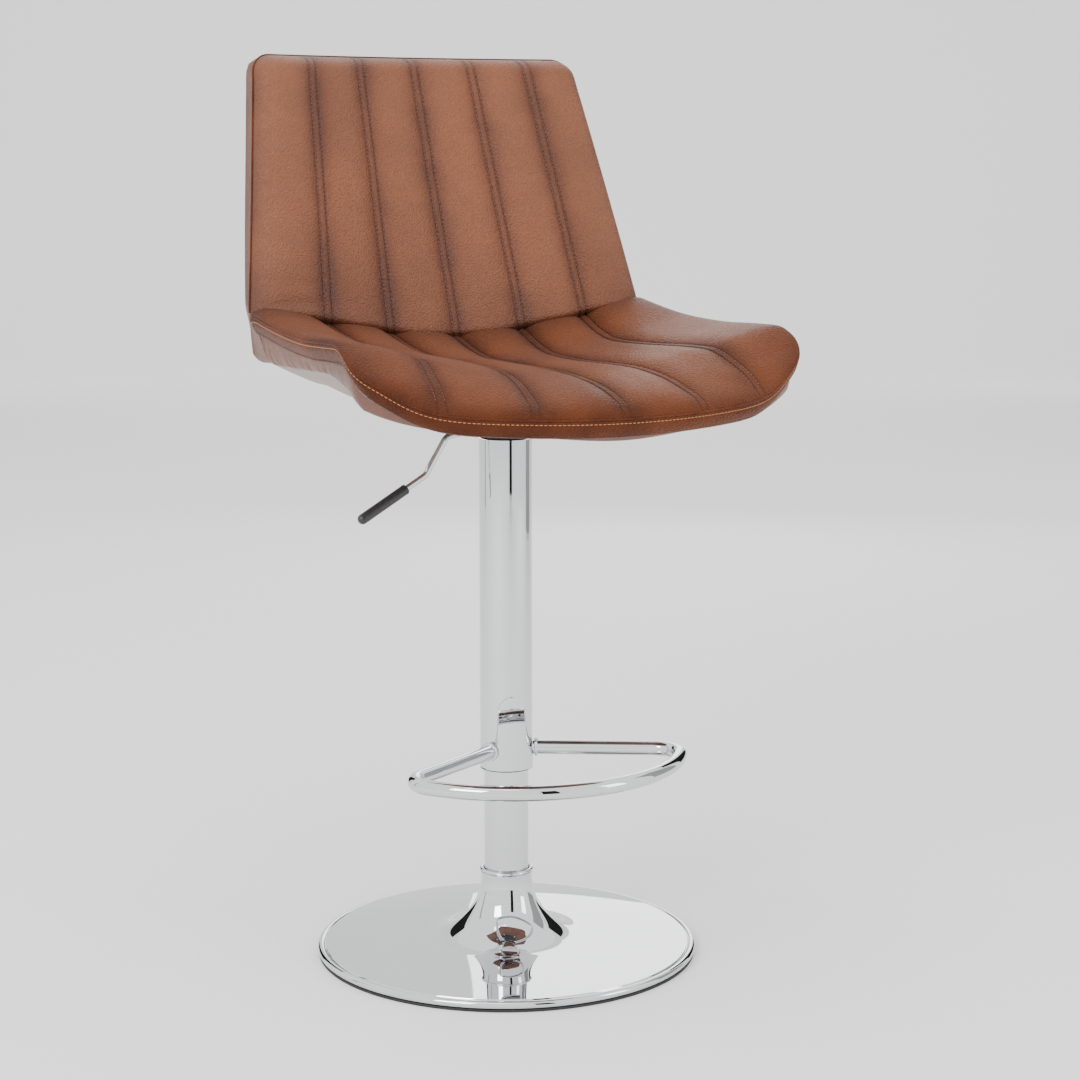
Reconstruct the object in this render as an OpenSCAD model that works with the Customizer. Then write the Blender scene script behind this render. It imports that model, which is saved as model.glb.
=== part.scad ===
// Bar stool with a gas-lift column, a D-shaped footrest and a channelled bucket seat.
// The origin is on the floor at the column's axis, +Z is up and the sitter faces -Y.

/* [Base] */
// Diameter of the spun base plate
base_d = 385; // [340:1:460]
// Sheet thickness of the base plate
base_wall = 1.6; // [1.2:0.1:2.4]
// Radius of the rolled bead at the rim
bead_r = 3.9; // [3:0.1:4.5]
// Height of the trumpet neck's rolled lip
neck_h = 86; // [75:1:110]
// Radius at which the neck starts to rise
neck_foot_r = 84; // [75:1:110]
// Thickness of the ballast plate
ballast_t = 5; // [3:0.5:5]

/* [Column] */
// Outer diameter of the fixed lower tube
lower_d = 44.8; // [42:0.2:48]
// Radial room for the bush between the lower tube and the cover tube
cover_gap = 2.5; // [1.5:0.1:5]
// Wall of both tubes
tube_wall = 1.5; // [1.2:0.1:2]
// Height of the cover tube's lower end with the seat right down
cover_low_z = 190; // [180:1:230]
// Travel of the gas lift
stroke = 210; // [150:1:210]

/* [Gas lift] */
// Diameter of the pressure cylinder
cyl_d = 28; // [25:1:30]
// Diameter of the piston rod
rod_d = 10; // [8:1:12]
// Radial running clearance of every sliding fit
run_fit = 0.06; // [0.02:0.01:0.1]

/* [Footrest] */
// Height of the footrest tube's centre with the seat right down
foot_z = 211; // [205:1:240]
// Diameter of the footrest tube
foot_d = 15; // [12:0.5:19]
// Reach of the footrest in front of the column's axis
foot_reach = 186; // [165:1:220]
// Radius of the footrest's front arc
foot_arc_r = 164; // [150:1:190]
// Bend radius of the footrest's two corners
foot_bend_r = 26; // [20:1:35]
// Height of the saddle's tongue above the footrest
tongue_h = 56; // [40:1:80]
// Turn of the saddle's tongue from straight ahead
tongue_turn = -14; // [-20:1:0]

/* [Seat] */
// Height of the seat deck, the top of the bent shell at its middle
deck_z = 570; // [530:1:620]
// Depth from the column's axis to the seat's front edge
seat_front = 248; // [225:1:280]
// Half width of the seat at its rear
seat_half = 219; // [200:1:250]
// Radius of the seat's front edge in plan
front_r = 400; // [350:1:500]
// Radius of the seat's front corners
corner_r = 30; // [24:1:40]
// Thickness of the bent plywood shell
shell_t = 12; // [9:1:15]
// Thickness of the padded outer cover at its middle
cover_t = 12; // [8:1:15]
// Foam thickness of the seat at its middle
seat_foam = 32; // [25:1:45]
// Height of the boxing band under the seat's edge seam
boxing_h = 18; // [12:1:22]

/* [Back] */
// Height of the back's top edge above the seat deck
back_h = 330; // [290:1:400]
// Half width of the back near its top
back_half = 182; // [165:1:205]
// Radius of the back's top corners
back_corner_r = 22; // [15:1:40]
// Lean of the back from upright
back_lean = 21; // [15:1:25]
// Inside radius of the bend between seat and back
bend_r = 60; // [50:1:75]
// Foam thickness of the back at its middle
back_foam = 28; // [22:1:34]

/* [Seat mount] */
// Distance from the mounting bolts to the plate's edge
plate_margin = 18; // [14:1:24]
// Thickness of the mounting plate
plate_t = 3; // [2.5:0.5:4]
// Distance between the mounting bolts
bolt_gap = 124; // [100:1:150]
// Diameter of the mounting and base bolts
bolt_d = 8; // [6:1:8]

/* [Lever] */
// Diameter of the lever rod
lever_d = 6.6; // [5:0.2:8]
// Diameter of the lever's grip
grip_d = 10.4; // [9:0.2:13]
// Distance of the lever's fulcrum from the column's axis
fulcrum_x = 26; // [22:1:30]

/* [Hidden] */
$fn = 96;
gap = 0.3;                              // stand-off between neighbouring pieces
glue = 0.9;                             // glue line between the shell and its outer covers
eps = 0.5;                              // overshoot of a cut beyond the face it opens

// Base levels
ballast_z = 3.5;
flange_z = ballast_z + ballast_t;
flange_t = 4.5;
floor_z = flange_z + 15;
floor_t = 4;
base_r = base_d / 2;
bead_c = [base_r - bead_r, bead_r + 2.5];
plate_edge = [base_r - 2 * bead_r - 0.5, 10.5];
neck_foot = [neck_foot_r, 17];

// Column radii and levels
lower_r = lower_d / 2;
lower_in = lower_r - tube_wall;
cover_r = lower_r + cover_gap + tube_wall;
cover_in = cover_r - tube_wall;
cyl_r = cyl_d / 2;
rod_r = rod_d / 2;
lip_t = 1.6;                            // visible lip of the bush under the cover tube
plate_z = deck_z - shell_t - cover_t - plate_t;
cover_top_z = plate_z - 19;
hub_low = plate_z - 47;
hub_top = plate_z - 13;
cyl_top = plate_z - 19;
cyl_low = floor_z + 37;
taper_low = cyl_top - 24;
taper_r = cyl_r - 0.6;
lower_top = cover_low_z + stroke + 36;
race_z = floor_z + floor_t;
race_t = 2;
ball_r = 1.75;
ball_ring_r = rod_r + 5;

// Footrest plan: straight arms at 30 degrees, two corner bends and one front arc
foot_r = foot_d / 2;
foot_c = [0, -foot_reach + foot_arc_r];
arm_a = 30;
arm_start = [cover_r * 0.87, -cover_r * 0.53];
bend_from = arm_start + foot_bend_r * [-sin(arm_a), -cos(arm_a)] - foot_c;
bend_b = bend_from * [cos(arm_a), -sin(arm_a)];
bend_q = bend_from * bend_from - pow(foot_arc_r - foot_bend_r, 2);
bend_c = foot_c + bend_from + (-bend_b + sqrt(bend_b * bend_b - bend_q)) * [cos(arm_a), -sin(arm_a)];
bend_end_a = atan2(bend_c[1] - foot_c[1], bend_c[0]);

// Seat plan and surface
seat_rear = 126;                        // rear end of the seat cushion under the back
crease_y = 107;
side_flare = 0.064;                     // widening of the seat towards its front
arc_y = front_r - seat_front;
welt_front = deck_z - 3;
crown = 3 + seat_foam;
dish = 0.0012;                          // rise of the shell with the square of x
boxing_in = 8;
shell_inset = 15;                       // draw-in of the shell and its cover from the seam
ledge_in = 13.5;                        // draw-in of the cushion's ledge over the shell's edge
pad_off = 2.2;                          // felt and glue between the cushion and the shell
plate_w = bolt_gap + 2 * plate_margin;
pad_flat = plate_w / 2 + 5;             // half width of the flat zone under the seat
function ease(t) = let (u = max(0, min(1, t))) u * u * (3 - 2 * u);
function half_w(y) = seat_half + side_flare * (110 - y);
function front_y(x) = arc_y - sqrt(front_r * front_r - x * x);
function corner_y(n = 4) = n == 0 ? -150 : let (x = half_w(corner_y(n - 1)) - corner_r)
    arc_y - sqrt(pow(front_r - corner_r, 2) - x * x);
corner_c = [half_w(corner_y()) - corner_r, corner_y()];
corner_a = atan2(corner_c[1] - arc_y, corner_c[0]);
function welt_z(x, y) = let (q = pow(x / 236, 2))
    welt_front + 12.6 * q + 52 * q * ease((y + seat_front - 23) / 95) + 0.085 * q * 1.15 * max(0, y + 100);
function seat_roll(x, y) = let (fx = abs(x) / half_w(y), fy = max(0, (-60 - y) / (-60 - front_y(x))))
    sqrt(max(0, 1 - pow(fx, 3) - pow(fy, 3)));
function seat_top(x, y) = let (q = pow(x / seat_half, 2))
    welt_z(x, y) + crown * (1 - 0.3 * q) * seat_roll(x, y)
    + 16 * (1 - 0.8 * min(1, q)) * pow(max(0, min(1, (y - 13) / (crease_y - 13))), 2);

// Shell profile: flat seat, bend, leaning back; all of it dished across
bend_start = crease_y - 31;
bend_a = 90 - back_lean;
bend_z = deck_z + bend_r;
back_k0 = 0.0003;                       // cross curve of the back at its foot
back_k1 = 0.0008;                       // cross curve of the back at its top
back_top = deck_z + back_h;
back_join = deck_z + 72;                // height at which the back's sides leave the seat's
back_shoulder = back_top - back_corner_r;
back_foot = [bend_start + bend_r * sin(bend_a), bend_z - bend_r * cos(bend_a)];
function back_k(z) = back_k0
    + (back_k1 - back_k0) * max(0, min(1, (z - back_join - 8) / (back_top - back_join - 28)));
function back_w(z) = back_half
    + (seat_half - back_half) * (back_shoulder - z) / (back_shoulder - back_join);
function back_y(x, z) = back_foot[0] + (z - back_foot[1]) * tan(back_lean)
    - back_k(z) * x * x / cos(back_lean);
function rise(x, y) = dish * x * x * ease((y + seat_front - 23) / 150);
function shell_top(x, y) = rise(x, y)
    + (y < bend_start ? deck_z : bend_z - sqrt(pow(bend_r, 2) - pow(min(y - bend_start, bend_r - 1), 2)));
function back_front(x, z) = let (
        fx = min(1, abs(x) / back_w(z)),
        ft = max(0, (z - back_top + 10) / 10),
        thick = back_foam + 9 * pow(min(abs(x), 127) / 127, 2))
    back_y(x, z) - 3.5 - (thick - 3) * sqrt(max(0, 1 - pow(fx, 6) - pow(ft, 2)));

// One closed solid from a stack of point rings; the first and last rings close on their centres
module ring_stack(rings) {
    n = len(rings[0]);
    m = len(rings);
    points = concat([for (r = rings) each r], [mean(rings[0]), mean(rings[m - 1])]);
    low = [for (i = [0 : n - 1]) [m * n, i, (i + 1) % n]];
    high = [for (i = [0 : n - 1]) [m * n + 1, (m - 1) * n + (i + 1) % n, (m - 1) * n + i]];
    sides = [for (k = [0 : m - 2], i = [0 : n - 1]) let (j = (i + 1) % n)
        each [[k * n + i, (k + 1) * n + i, k * n + j], [k * n + j, (k + 1) * n + i, (k + 1) * n + j]]];
    polyhedron(points, concat(low, sides, high));
}
// A ring stack whose last ring joins its first, such as a tube's outside and inside
module ring_loop(rings) {
    n = len(rings[0]);
    m = len(rings);
    polyhedron([for (r = rings) each r],
        [for (k = [0 : m - 1], i = [0 : n - 1]) let (j = (i + 1) % n, q = (k + 1) % m)
        each [[k * n + i, q * n + i, k * n + j], [k * n + j, q * n + i, q * n + j]]]);
}
function mean(ring) = [for (c = [0 : 2]) sum([for (p = ring) p[c]]) / len(ring)];
function sum(v, i = 0) = i == len(v) ? 0 : v[i] + sum(v, i + 1);

// One closed solid between two sheets of points on the same grid
module sheet_pair(low, high) {
    m = len(low);
    n = len(low[0]);
    o = m * n;
    points = concat([for (r = low) each r], [for (r = high) each r]);
    function quad(a, b, c, d) = [[a, b, c], [a, c, d]];
    faces = concat(
        [for (i = [0 : m - 2], j = [0 : n - 2]) let (a = i * n + j) each quad(a, a + 1, a + n + 1, a + n)],
        [for (i = [0 : m - 2], j = [0 : n - 2]) let (a = o + i * n + j)
            each quad(a, a + n, a + n + 1, a + 1)],
        [for (j = [0 : n - 2]) each quad(j, o + j, o + j + 1, j + 1)],
        [for (j = [0 : n - 2]) let (a = (m - 1) * n + j) each quad(a, a + 1, o + a + 1, o + a)],
        [for (i = [0 : m - 2]) let (a = i * n) each quad(a, a + n, o + a + n, o + a)],
        [for (i = [0 : m - 2]) let (a = i * n + n - 1) each quad(a, o + a, o + a + n, a + n)]);
    polyhedron(points, faces);
}

module ring(r_out, r_in, h) {
    difference() {
        cylinder(r = r_out, h = h);
        translate([0, 0, -eps]) cylinder(r = r_in, h = h + 2 * eps);
    }
}
module at_bolts(gap_xy) {
    for (x = [-0.5, 0.5], y = [-0.5, 0.5]) translate([x * gap_xy, y * gap_xy, 0]) children();
}

// ---- Base ----
function trumpet(w) = concat(
    [[lower_r + 0.2, 0], [lower_r + 0.2, neck_h - w]],
    w > 0 ? [] : [for (a = [90 : -15 : -60]) [lower_r + 2.6 + 2 * cos(a), neck_h - 2 + 2 * sin(a)]],
    [for (a = [90 : -7.5 : 0]) [neck_foot[0] - (neck_foot[0] - lower_r - 3.4 + w) * sin(a),
        neck_foot[1] - w + (neck_h - 9 - neck_foot[1]) * (1 - cos(a))]],
    [[plate_edge[0], plate_edge[1] - w], [plate_edge[0], 0]]);
module base_plate() {
    color("silver") rotate_extrude() {
        difference() {
            polygon(trumpet(0));
            polygon(concat([[0, -eps]],
                [for (p = trumpet(base_wall)) [p[0], p[1] - eps * (p[1] == 0 ? 1 : 0)]]));
            translate([0, -eps]) square([base_r, 4 + eps]);
        }
        translate([plate_edge[0] - 1.5, 5]) square([bead_r, plate_edge[1] - 6]);
        translate(bead_c) circle(r = bead_r, $fn = 32);
    }
}
module base_floor_ring() {
    color("black") rotate_extrude() {
        translate([plate_edge[0] - 6, 0]) square([bead_r * 2 + 5, 2.4]);
        translate([plate_edge[0] - 6, 0]) square([4, 8]);
    }
}
module ballast_plate() {
    color("dimgray") translate([0, 0, ballast_z]) difference() {
        ring(plate_edge[0] - 7, 30, ballast_t);
        base_bolt_ring() translate([0, 0, -eps])
            cylinder(r = bolt_d / 2 + 0.2, h = ballast_t + 2 * eps, $fn = 32);
    }
}
module base_bolt_ring() {
    for (a = [45 : 90 : 315]) rotate([0, 0, a]) translate([55, 0, 0]) children();
}
module base_bolts() {
    color("gray") base_bolt_ring() {
        translate([0, 0, 0.8]) cylinder(r = bolt_d * 0.8, h = ballast_z - 0.8, $fn = 32);
        cylinder_from(ballast_z - 0.2, flange_z + flange_t, bolt_d / 2 - 0.05);
    }
}
module cylinder_from(z0, z1, r) {
    translate([0, 0, z0]) cylinder(r = r, h = z1 - z0, $fn = 48);
}
module column_flange() {
    color("dimgray") translate([0, 0, flange_z]) difference() {
        ring(70, lower_r, flange_t);
        base_bolt_ring() translate([0, 0, -eps]) cylinder(r = bolt_d / 2, h = flange_t + 2 * eps, $fn = 32);
    }
}

// ---- Fixed column ----
module lower_tube() {
    color("silver") translate([0, 0, flange_z]) ring(lower_r, lower_in, lower_top - flange_z);
}
module tube_floor() {
    color("dimgray") translate([0, 0, floor_z]) ring(lower_in, rod_r + run_fit, floor_t);
}
module bearing_lower_race() {
    color("gray") translate([0, 0, race_z]) ring(ball_ring_r + 4, rod_r + run_fit, race_t);
}
module bearing_balls() {
    color("lightgray") translate([0, 0, race_z + race_t + ball_r]) {
        for (a = [0 : 36 : 324]) rotate([0, 0, a])
            translate([ball_ring_r, 0, 0]) sphere(r = ball_r, $fn = 24);
    }
}
module guide_bush() {
    color("white") {
        translate([0, 0, lower_top - 64]) ring(lower_in, cyl_r + run_fit, 64);
        translate([0, 0, lower_top]) ring(lower_r - 0.4, cyl_r + run_fit, 4);
    }
}

// ---- Turning rod ----
module bearing_upper_race() {
    color("gray") translate([0, 0, race_z + race_t + 2 * ball_r]) ring(ball_ring_r + 4, rod_r, race_t);
}
module piston_rod() {
    color("lightgray") cylinder_from(floor_z - 10, cyl_top - 42, rod_r);
}
module rod_clip() {
    color("gray") translate([0, 0, floor_z - 4]) ring(rod_r + 3, rod_r, 2);
}
module rod_bumper() {
    z = race_z + 2 * race_t + 2 * ball_r;
    color("black") translate([0, 0, z]) ring(rod_r + 6, rod_r, cyl_low - z - gap);
}
module piston() {
    color("gray") translate([0, 0, cyl_top - 54]) ring(cyl_r - 1.7, rod_r, 12);
}

// ---- Lifting column ----
module gas_cylinder() {
    color("black") difference() {
        union() {
            cylinder_from(cyl_low, taper_low, cyl_r);
            translate([0, 0, taper_low]) cylinder(r1 = cyl_r, r2 = taper_r, h = cyl_top - taper_low);
        }
        cylinder_from(cyl_low - eps, cyl_top - 34, cyl_r - 1.6);
        cylinder_from(cyl_top - 35, cyl_top + eps, 3 + run_fit);
    }
}
module cylinder_gland() {
    color("gray") translate([0, 0, cyl_low]) ring(cyl_r - 1.6, rod_r + run_fit, 20);
}
module tube_top_ring() {
    color("gray") translate([0, 0, hub_low - 4]) ring(cover_in, cyl_r + run_fit, 4);
}
module cover_tube() {
    color("silver") translate([0, 0, cover_low_z + lip_t])
        ring(cover_r, cover_in, cover_top_z - cover_low_z - lip_t);
}
module cover_tube_bush() {
    color("black") translate([0, 0, cover_low_z]) {
        ring(cover_r, lower_r + run_fit, lip_t);
        translate([0, 0, lip_t]) ring(cover_in, lower_r + run_fit, 24);
    }
}

// Rings round a flat path: each ring stands square to the path, and lay() puts it in its plane
function tangent(path, i) = unit(path[min(i + 1, len(path) - 1)] - path[max(i - 1, 0)]);
function flat_xy(p, h) = [p[0], p[1], h];
function flat_xz(p, h) = [p[0], -h, p[1]];
function tube_rings(path, r, lay, sides = 16) = [for (i = [0 : len(path) - 1]) let (t = tangent(path, i))
    [for (k = [0 : sides - 1]) let (a = 360 * k / sides)
        lay(path[i] + r * cos(a) * [-t[1], t[0]], r * sin(a))]];
foot_half = concat([for (i = [0 : 11]) let (a = -90 + i / 12 * (90 + bend_end_a))
        foot_c + foot_arc_r * [cos(a), sin(a)]],
    [for (i = [0 : 9]) let (a = bend_end_a + i / 9 * (90 - arm_a - bend_end_a))
        bend_c + foot_bend_r * [cos(a), sin(a)]],
    [arm_start]);
foot_path = concat([for (i = [len(foot_half) - 1 : -1 : 1]) [-foot_half[i][0], foot_half[i][1]]],
    foot_half);
module footrest_loop() {
    outer = tube_rings(foot_path, foot_r, function(p, h) flat_xy(p, h));
    inner = tube_rings(foot_path, foot_r - tube_wall, function(p, h) flat_xy(p, h));
    color("silver") translate([0, 0, foot_z])
        ring_loop(concat(outer, [for (i = [len(inner) - 1 : -1 : 0]) inner[i]]));
}
module foot_arms(r) {
    for (m = [[0, 0, 0], [1, 0, 0]]) mirror(m) translate([arm_start[0], arm_start[1], 0])
        rotate([0, 0, -arm_a]) rotate([0, 90, 0]) translate([0, 0, -12]) cylinder(r = r, h = 60, $fn = 48);
}
tongue_half = 13;
saddle_t = 2.2;
saddle_half = cover_r - 2.4;
saddle_z = cover_low_z + lip_t;
flare = [for (a = [10 : 16 : 90]) [saddle_half - 10 * sin(a), foot_z - saddle_z + 16 - 14 * cos(a)]];
function flip(line) = [for (i = [len(line) - 1 : -1 : 0]) [-line[i][0], line[i][1]]];
tongue_side = concat([[saddle_half, 0], [saddle_half, foot_z - saddle_z - 2]], flare,
    [for (a = [0 : 15 : 75]) [tongue_half * cos(a), foot_z - saddle_z + tongue_h - tongue_half
        + tongue_half * sin(a)]]);
tongue_outline = concat(tongue_side, [[0, foot_z - saddle_z + tongue_h]], flip(tongue_side));
module footrest_saddle() {
    color("silver") translate([0, 0, saddle_z]) difference() {
        intersection() {
            cylinder(r = cover_r + saddle_t, h = 120);
            rotate([0, 0, tongue_turn]) rotate([90, 0, 0])
                linear_extrude(height = 60) polygon(tongue_outline);
        }
        translate([0, 0, -eps]) cylinder(r = cover_r, h = 121);
        translate([0, 0, foot_z - saddle_z]) foot_arms(foot_r + 0.02);
    }
}

// ---- Seat mount ----
hub_wall = 5;
module mount_hub() {
    color("dimgray") difference() {
        cylinder_from(hub_low, hub_top, cyl_r + hub_wall);
        cylinder_from(hub_low - eps, taper_low + eps, cyl_r + 0.02);
        translate([0, 0, taper_low])
            cylinder(r1 = cyl_r + 0.02, r2 = taper_r + 0.02, h = cyl_top - taper_low);
        cylinder_from(cyl_top - 0.01, hub_top + eps, taper_r + 0.02);
    }
}
lug_y = 9;
lug_t = 2.5;
pin_z = plate_z - 8.5;
module lever_bracket() {
    color("dimgray") difference() {
        for (s = [-1, 1]) translate([-fulcrum_x - 14, s * (lug_y + lug_t / 2) - lug_t / 2, hub_top])
            cube([fulcrum_x + 30, lug_t, plate_z - hub_top]);
        translate([-fulcrum_x, 20, pin_z]) rotate([90, 0, 0]) cylinder(r = 2.5, h = 40, $fn = 32);
    }
}
module fulcrum_pin() {
    color("gray") translate([-fulcrum_x, 0, pin_z]) rotate([90, 0, 0])
        translate([0, 0, -lug_y - lug_t - 1]) cylinder(r = 2.5, h = 2 * (lug_y + lug_t + 1), $fn = 32);
}
module mount_plate() {
    r = 12;
    color("dimgray") translate([0, 0, plate_z]) difference() {
        union() {
            translate([-plate_w / 2 + r, -plate_w / 2, 0]) cube([plate_w - 2 * r, plate_w, plate_t]);
            translate([-plate_w / 2, -plate_w / 2 + r, 0]) cube([plate_w, plate_w - 2 * r, plate_t]);
            at_bolts(plate_w - 2 * r) cylinder(r = r, h = plate_t);
        }
        at_bolts(bolt_gap) translate([0, 0, -eps])
            cylinder(r = bolt_d / 2 + 0.3, h = plate_t + 2 * eps, $fn = 48);
    }
}
washer_t = 1.6;
module mount_washers() {
    color("silver") translate([0, 0, plate_z - washer_t])
        at_bolts(bolt_gap) ring(bolt_d + 1, bolt_d / 2 + 0.2, washer_t);
}
module mount_bolts() {
    color("silver") at_bolts(bolt_gap) {
        cylinder_from(plate_z - washer_t - 5, plate_z - washer_t, bolt_d * 0.8);
        cylinder_from(plate_z - washer_t - 0.1, deck_z - 1, bolt_d / 2 - 0.05);
    }
}
nut_flange_r = 11;
nut_z = deck_z + dish * bolt_gap * bolt_gap / 4 - 3.5;
module tee_nuts() {
    color("silver") at_bolts(bolt_gap) translate([0, 0, nut_z]) {
        difference() {
            union() {
                cylinder(r = nut_flange_r, h = 1.5);
                translate([0, 0, -7]) cylinder(r = bolt_d / 2 + 1.4, h = 7.5);
            }
            translate([0, 0, -9]) cylinder(r = bolt_d / 2, h = 12);
        }
    }
}

// ---- Bent shell and its outer cover, laid out on one grid of stations ----
tuck = 22;                              // draw-in of the bucket's lower rear corners
cols = 14;
seat_steps = 14;
bend_steps = 6;
back_steps = 7;
// Point of the profile at station u, 0..1 seat, 1..2 bend, 2..3 back, offset d outwards from the deck
function station(u, t, d, inset, top) =
    u <= 1 ? let (
        x = t * (half_w(corner_c[1] + u * (bend_start - corner_c[1])) - inset),
        y0 = front_y(x) + inset, y = y0 + u * (bend_start - y0))
        [x, y, deck_z + rise(x, y) - d]
    : u <= 2 ? let (
        a = bend_a * (u - 1), x = t * (half_w(bend_start) - inset - tuck * sin(180 * (u - 1))),
        k = dish + (back_k0 - dish) * ease((a - bend_a / 2) / (bend_a / 2)), r = bend_r + d - k * x * x)
        [x, bend_start + r * sin(a), bend_z - r * cos(a)]
    : let (
        z = back_foot[1] + (u - 2) * (top - back_foot[1]),
        c = max(0, z - (top - back_corner_r)) / back_corner_r,
        w = back_w(max(z, back_join)) - inset - back_corner_r * (1 - sqrt(1 - c * c)), x = t * w)
        [x, back_y(x, z) + d / cos(back_lean), z];
stations = concat([for (i = [0 : seat_steps]) i / seat_steps],
    [for (i = [1 : bend_steps]) 1 + i / bend_steps],
    [for (i = [1 : back_steps]) 2 + (i < back_steps - 2 ? i / (back_steps - 2) * 0.93
        : i == back_steps - 2 ? 0.93 : i == back_steps - 1 ? 0.98 : 1)]);
function sheet(us, d, inset, top) = [for (u = us)
    [for (j = [-cols : cols]) station(u, j / cols, d, inset, top)]];
module bolt_holes(r) {
    at_bolts(bolt_gap) cylinder_from(plate_z, deck_z + 20, r);
}
module seat_shell() {
    color("burlywood") difference() {
        sheet_pair(sheet(stations, shell_t, shell_inset, back_top - 12),
            sheet(stations, 0, shell_inset, back_top - 12));
        bolt_holes(bolt_d / 2 + 1.5);
        at_bolts(bolt_gap) cylinder_from(nut_z, nut_z + 20, nut_flange_r + 0.1);
    }
}
// The outer cover thins towards its sides, so the underside stays flat where the plate sits
function cover_drop(p) = max(shell_t + 5, shell_t + cover_t
    + rise(p[0], p[1]) * (1 - 1.42 * max(0, 1 - pow(pad_flat / max(1, abs(p[0])), 2))));
function under_sheet(us) = [for (u = us) [for (j = [-cols : cols])
    let (p = station(u, j / cols, 0, shell_inset, back_top)) [p[0], p[1], p[2] - cover_drop(p)]]];
module underside_cover() {
    us = [for (u = stations) if (u < 1) u];
    color("saddlebrown") difference() {
        sheet_pair(under_sheet(us), sheet(us, shell_t + glue, shell_inset, back_top));
        bolt_holes(bolt_d / 2 + 0.5);
    }
}
module back_cover() {
    us = [for (u = stations) if (u >= 1) u];
    color("saddlebrown") difference() {
        sheet_pair(sheet(us, shell_t + cover_t, 4, back_top - 2),
            sheet(us, shell_t + glue, 4, back_top - 2));
        bolt_holes(bolt_d / 2 + 0.5);
    }
}

// ---- Cushions ----
seat_line = concat(
    [for (i = [0 : 7]) let (a = -90 + i / 8 * (90 + corner_a))
        [front_r * cos(a), arc_y + front_r * sin(a)]],
    [for (i = [0 : 4]) let (a = corner_a * (1 - i / 4)) [corner_c[0] + corner_r * cos(a),
        corner_c[1] + corner_r * sin(a)]],
    [for (i = [1 : 11]) let (y = corner_c[1] + i / 11 * (seat_rear - 6 - corner_c[1])) [half_w(y), y]],
    [for (i = [0 : 6]) [(half_w(seat_rear) - 6) * (1 - i / 7), seat_rear]]);
function mirrored(line) = concat(line, [[0, line[len(line) - 1][1]]],
    [for (i = [len(line) - 1 : -1 : 1]) [-line[i][0], line[i][1]]]);
seat_plan = mirrored(seat_line);
seat_mid = [0, -40];
function edge_normal(line, i) = let (
    n = len(line), t = unit(line[(i + 1) % n] - line[(i + n - 1) % n])) [t[1], -t[0]];
// Point of a closed outline drawn in towards c until it lies d inside the outline's edge
function pull(line, i, c, d) = let (r = unit(line[i] - c)) line[i] - r * d / (r * edge_normal(line, i));
function foam_low(p) = p[1] > 60 ? max(welt_z(p[0], p[1]) - boxing_h, shell_top(p[0], p[1]) + pad_off)
    : welt_z(p[0], p[1]) - boxing_h;
module seat_cushion() {
    all = [0 : len(seat_plan) - 1];
    inner = [for (r = [0.2, 0.4, 0.6, 0.75, 0.88]) [for (w = seat_plan)
        let (p = seat_mid + r * (w - seat_mid))
        [p[0], p[1], shell_top(p[0], p[1]) + pad_off]]];
    ledge = [for (i = all) let (p = pull(seat_plan, i, seat_mid, ledge_in))
        [p[0], p[1], shell_top(p[0], p[1]) + pad_off]];
    band = [for (i = all) let (p = pull(seat_plan, i, seat_mid, boxing_in)) [p[0], p[1], foam_low(p)]];
    top = [for (r = [1, 0.97, 0.92, 0.85, 0.75, 0.62, 0.48, 0.32, 0.16]) [for (w = seat_plan)
        let (p = seat_mid + r * (w - seat_mid)) [p[0], p[1], seat_top(p[0], p[1])]]];
    color("sienna") ring_stack(concat(inner, [ledge, band], top));
}
function back_low(x) = seat_top(x, 115) + 1.5;
back_line = concat(
    [for (i = [0 : 7]) let (x = i / 8 * (back_w(back_join + 8) - 4)) [x, back_low(x)]],
    [for (i = [0 : 6]) let (z0 = back_low(seat_half - 6) + 4, z = z0 + i / 6 * (back_shoulder - z0))
        [back_w(z), z]],
    [for (i = [1 : 4]) let (a = i / 4 * 90) [back_half - back_corner_r * (1 - cos(a)),
        back_top - back_corner_r * (1 - sin(a))]],
    [for (i = [1 : 5]) [(back_half - back_corner_r) * (1 - i / 6), back_top]]);
back_plan = mirrored(back_line);
back_mid = [0, deck_z + 190];
module back_cushion() {
    rear = [for (r = [0.2, 0.4, 0.6, 0.8, 0.93, 1]) [for (w = back_plan)
        let (p = back_mid + r * (w - back_mid))
        [p[0], back_y(p[0], p[1]) - 0.6, p[1]]]];
    front = [for (r = [1, 0.97, 0.92, 0.85, 0.75, 0.62, 0.48, 0.32, 0.16]) [for (w = back_plan)
        let (p = back_mid + r * (w - back_mid)) [p[0], back_front(p[0], p[1]), p[1]]]];
    color("sienna") ring_stack(concat(rear, front));
}

// ---- Lever and valve ----
// The lever's bends lie in one upright plane, as [x, z] points with a bend radius at each
lever_path = [[-fulcrum_x - 5, pin_z], [-64, pin_z - 6], [-87, pin_z - 43], [-107, pin_z - 54.5]];
lever_bends = [0, 10, 12, 0];
grip_end = [-158, pin_z - 84];
function unit(v) = v / norm(v);
function turn_at(i) = let (
    a = unit(lever_path[i] - lever_path[i - 1]), b = unit(lever_path[i + 1] - lever_path[i]))
    asin(a[0] * b[1] - a[1] * b[0]);
function bend_at(i) = let (
        d = unit(lever_path[i] - lever_path[i - 1]), turn = turn_at(i), r = lever_bends[i],
        from = lever_path[i] - d * r * tan(abs(turn) / 2), c = from + sign(turn) * r * [-d[1], d[0]],
        a = atan2(from[1] - c[1], from[0] - c[0]))
    [for (k = [0 : 6]) c + r * [cos(a + turn * k / 6), sin(a + turn * k / 6)]];
lever_line = concat([lever_path[0]], bend_at(1), bend_at(2), [lever_path[3]]);
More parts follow.
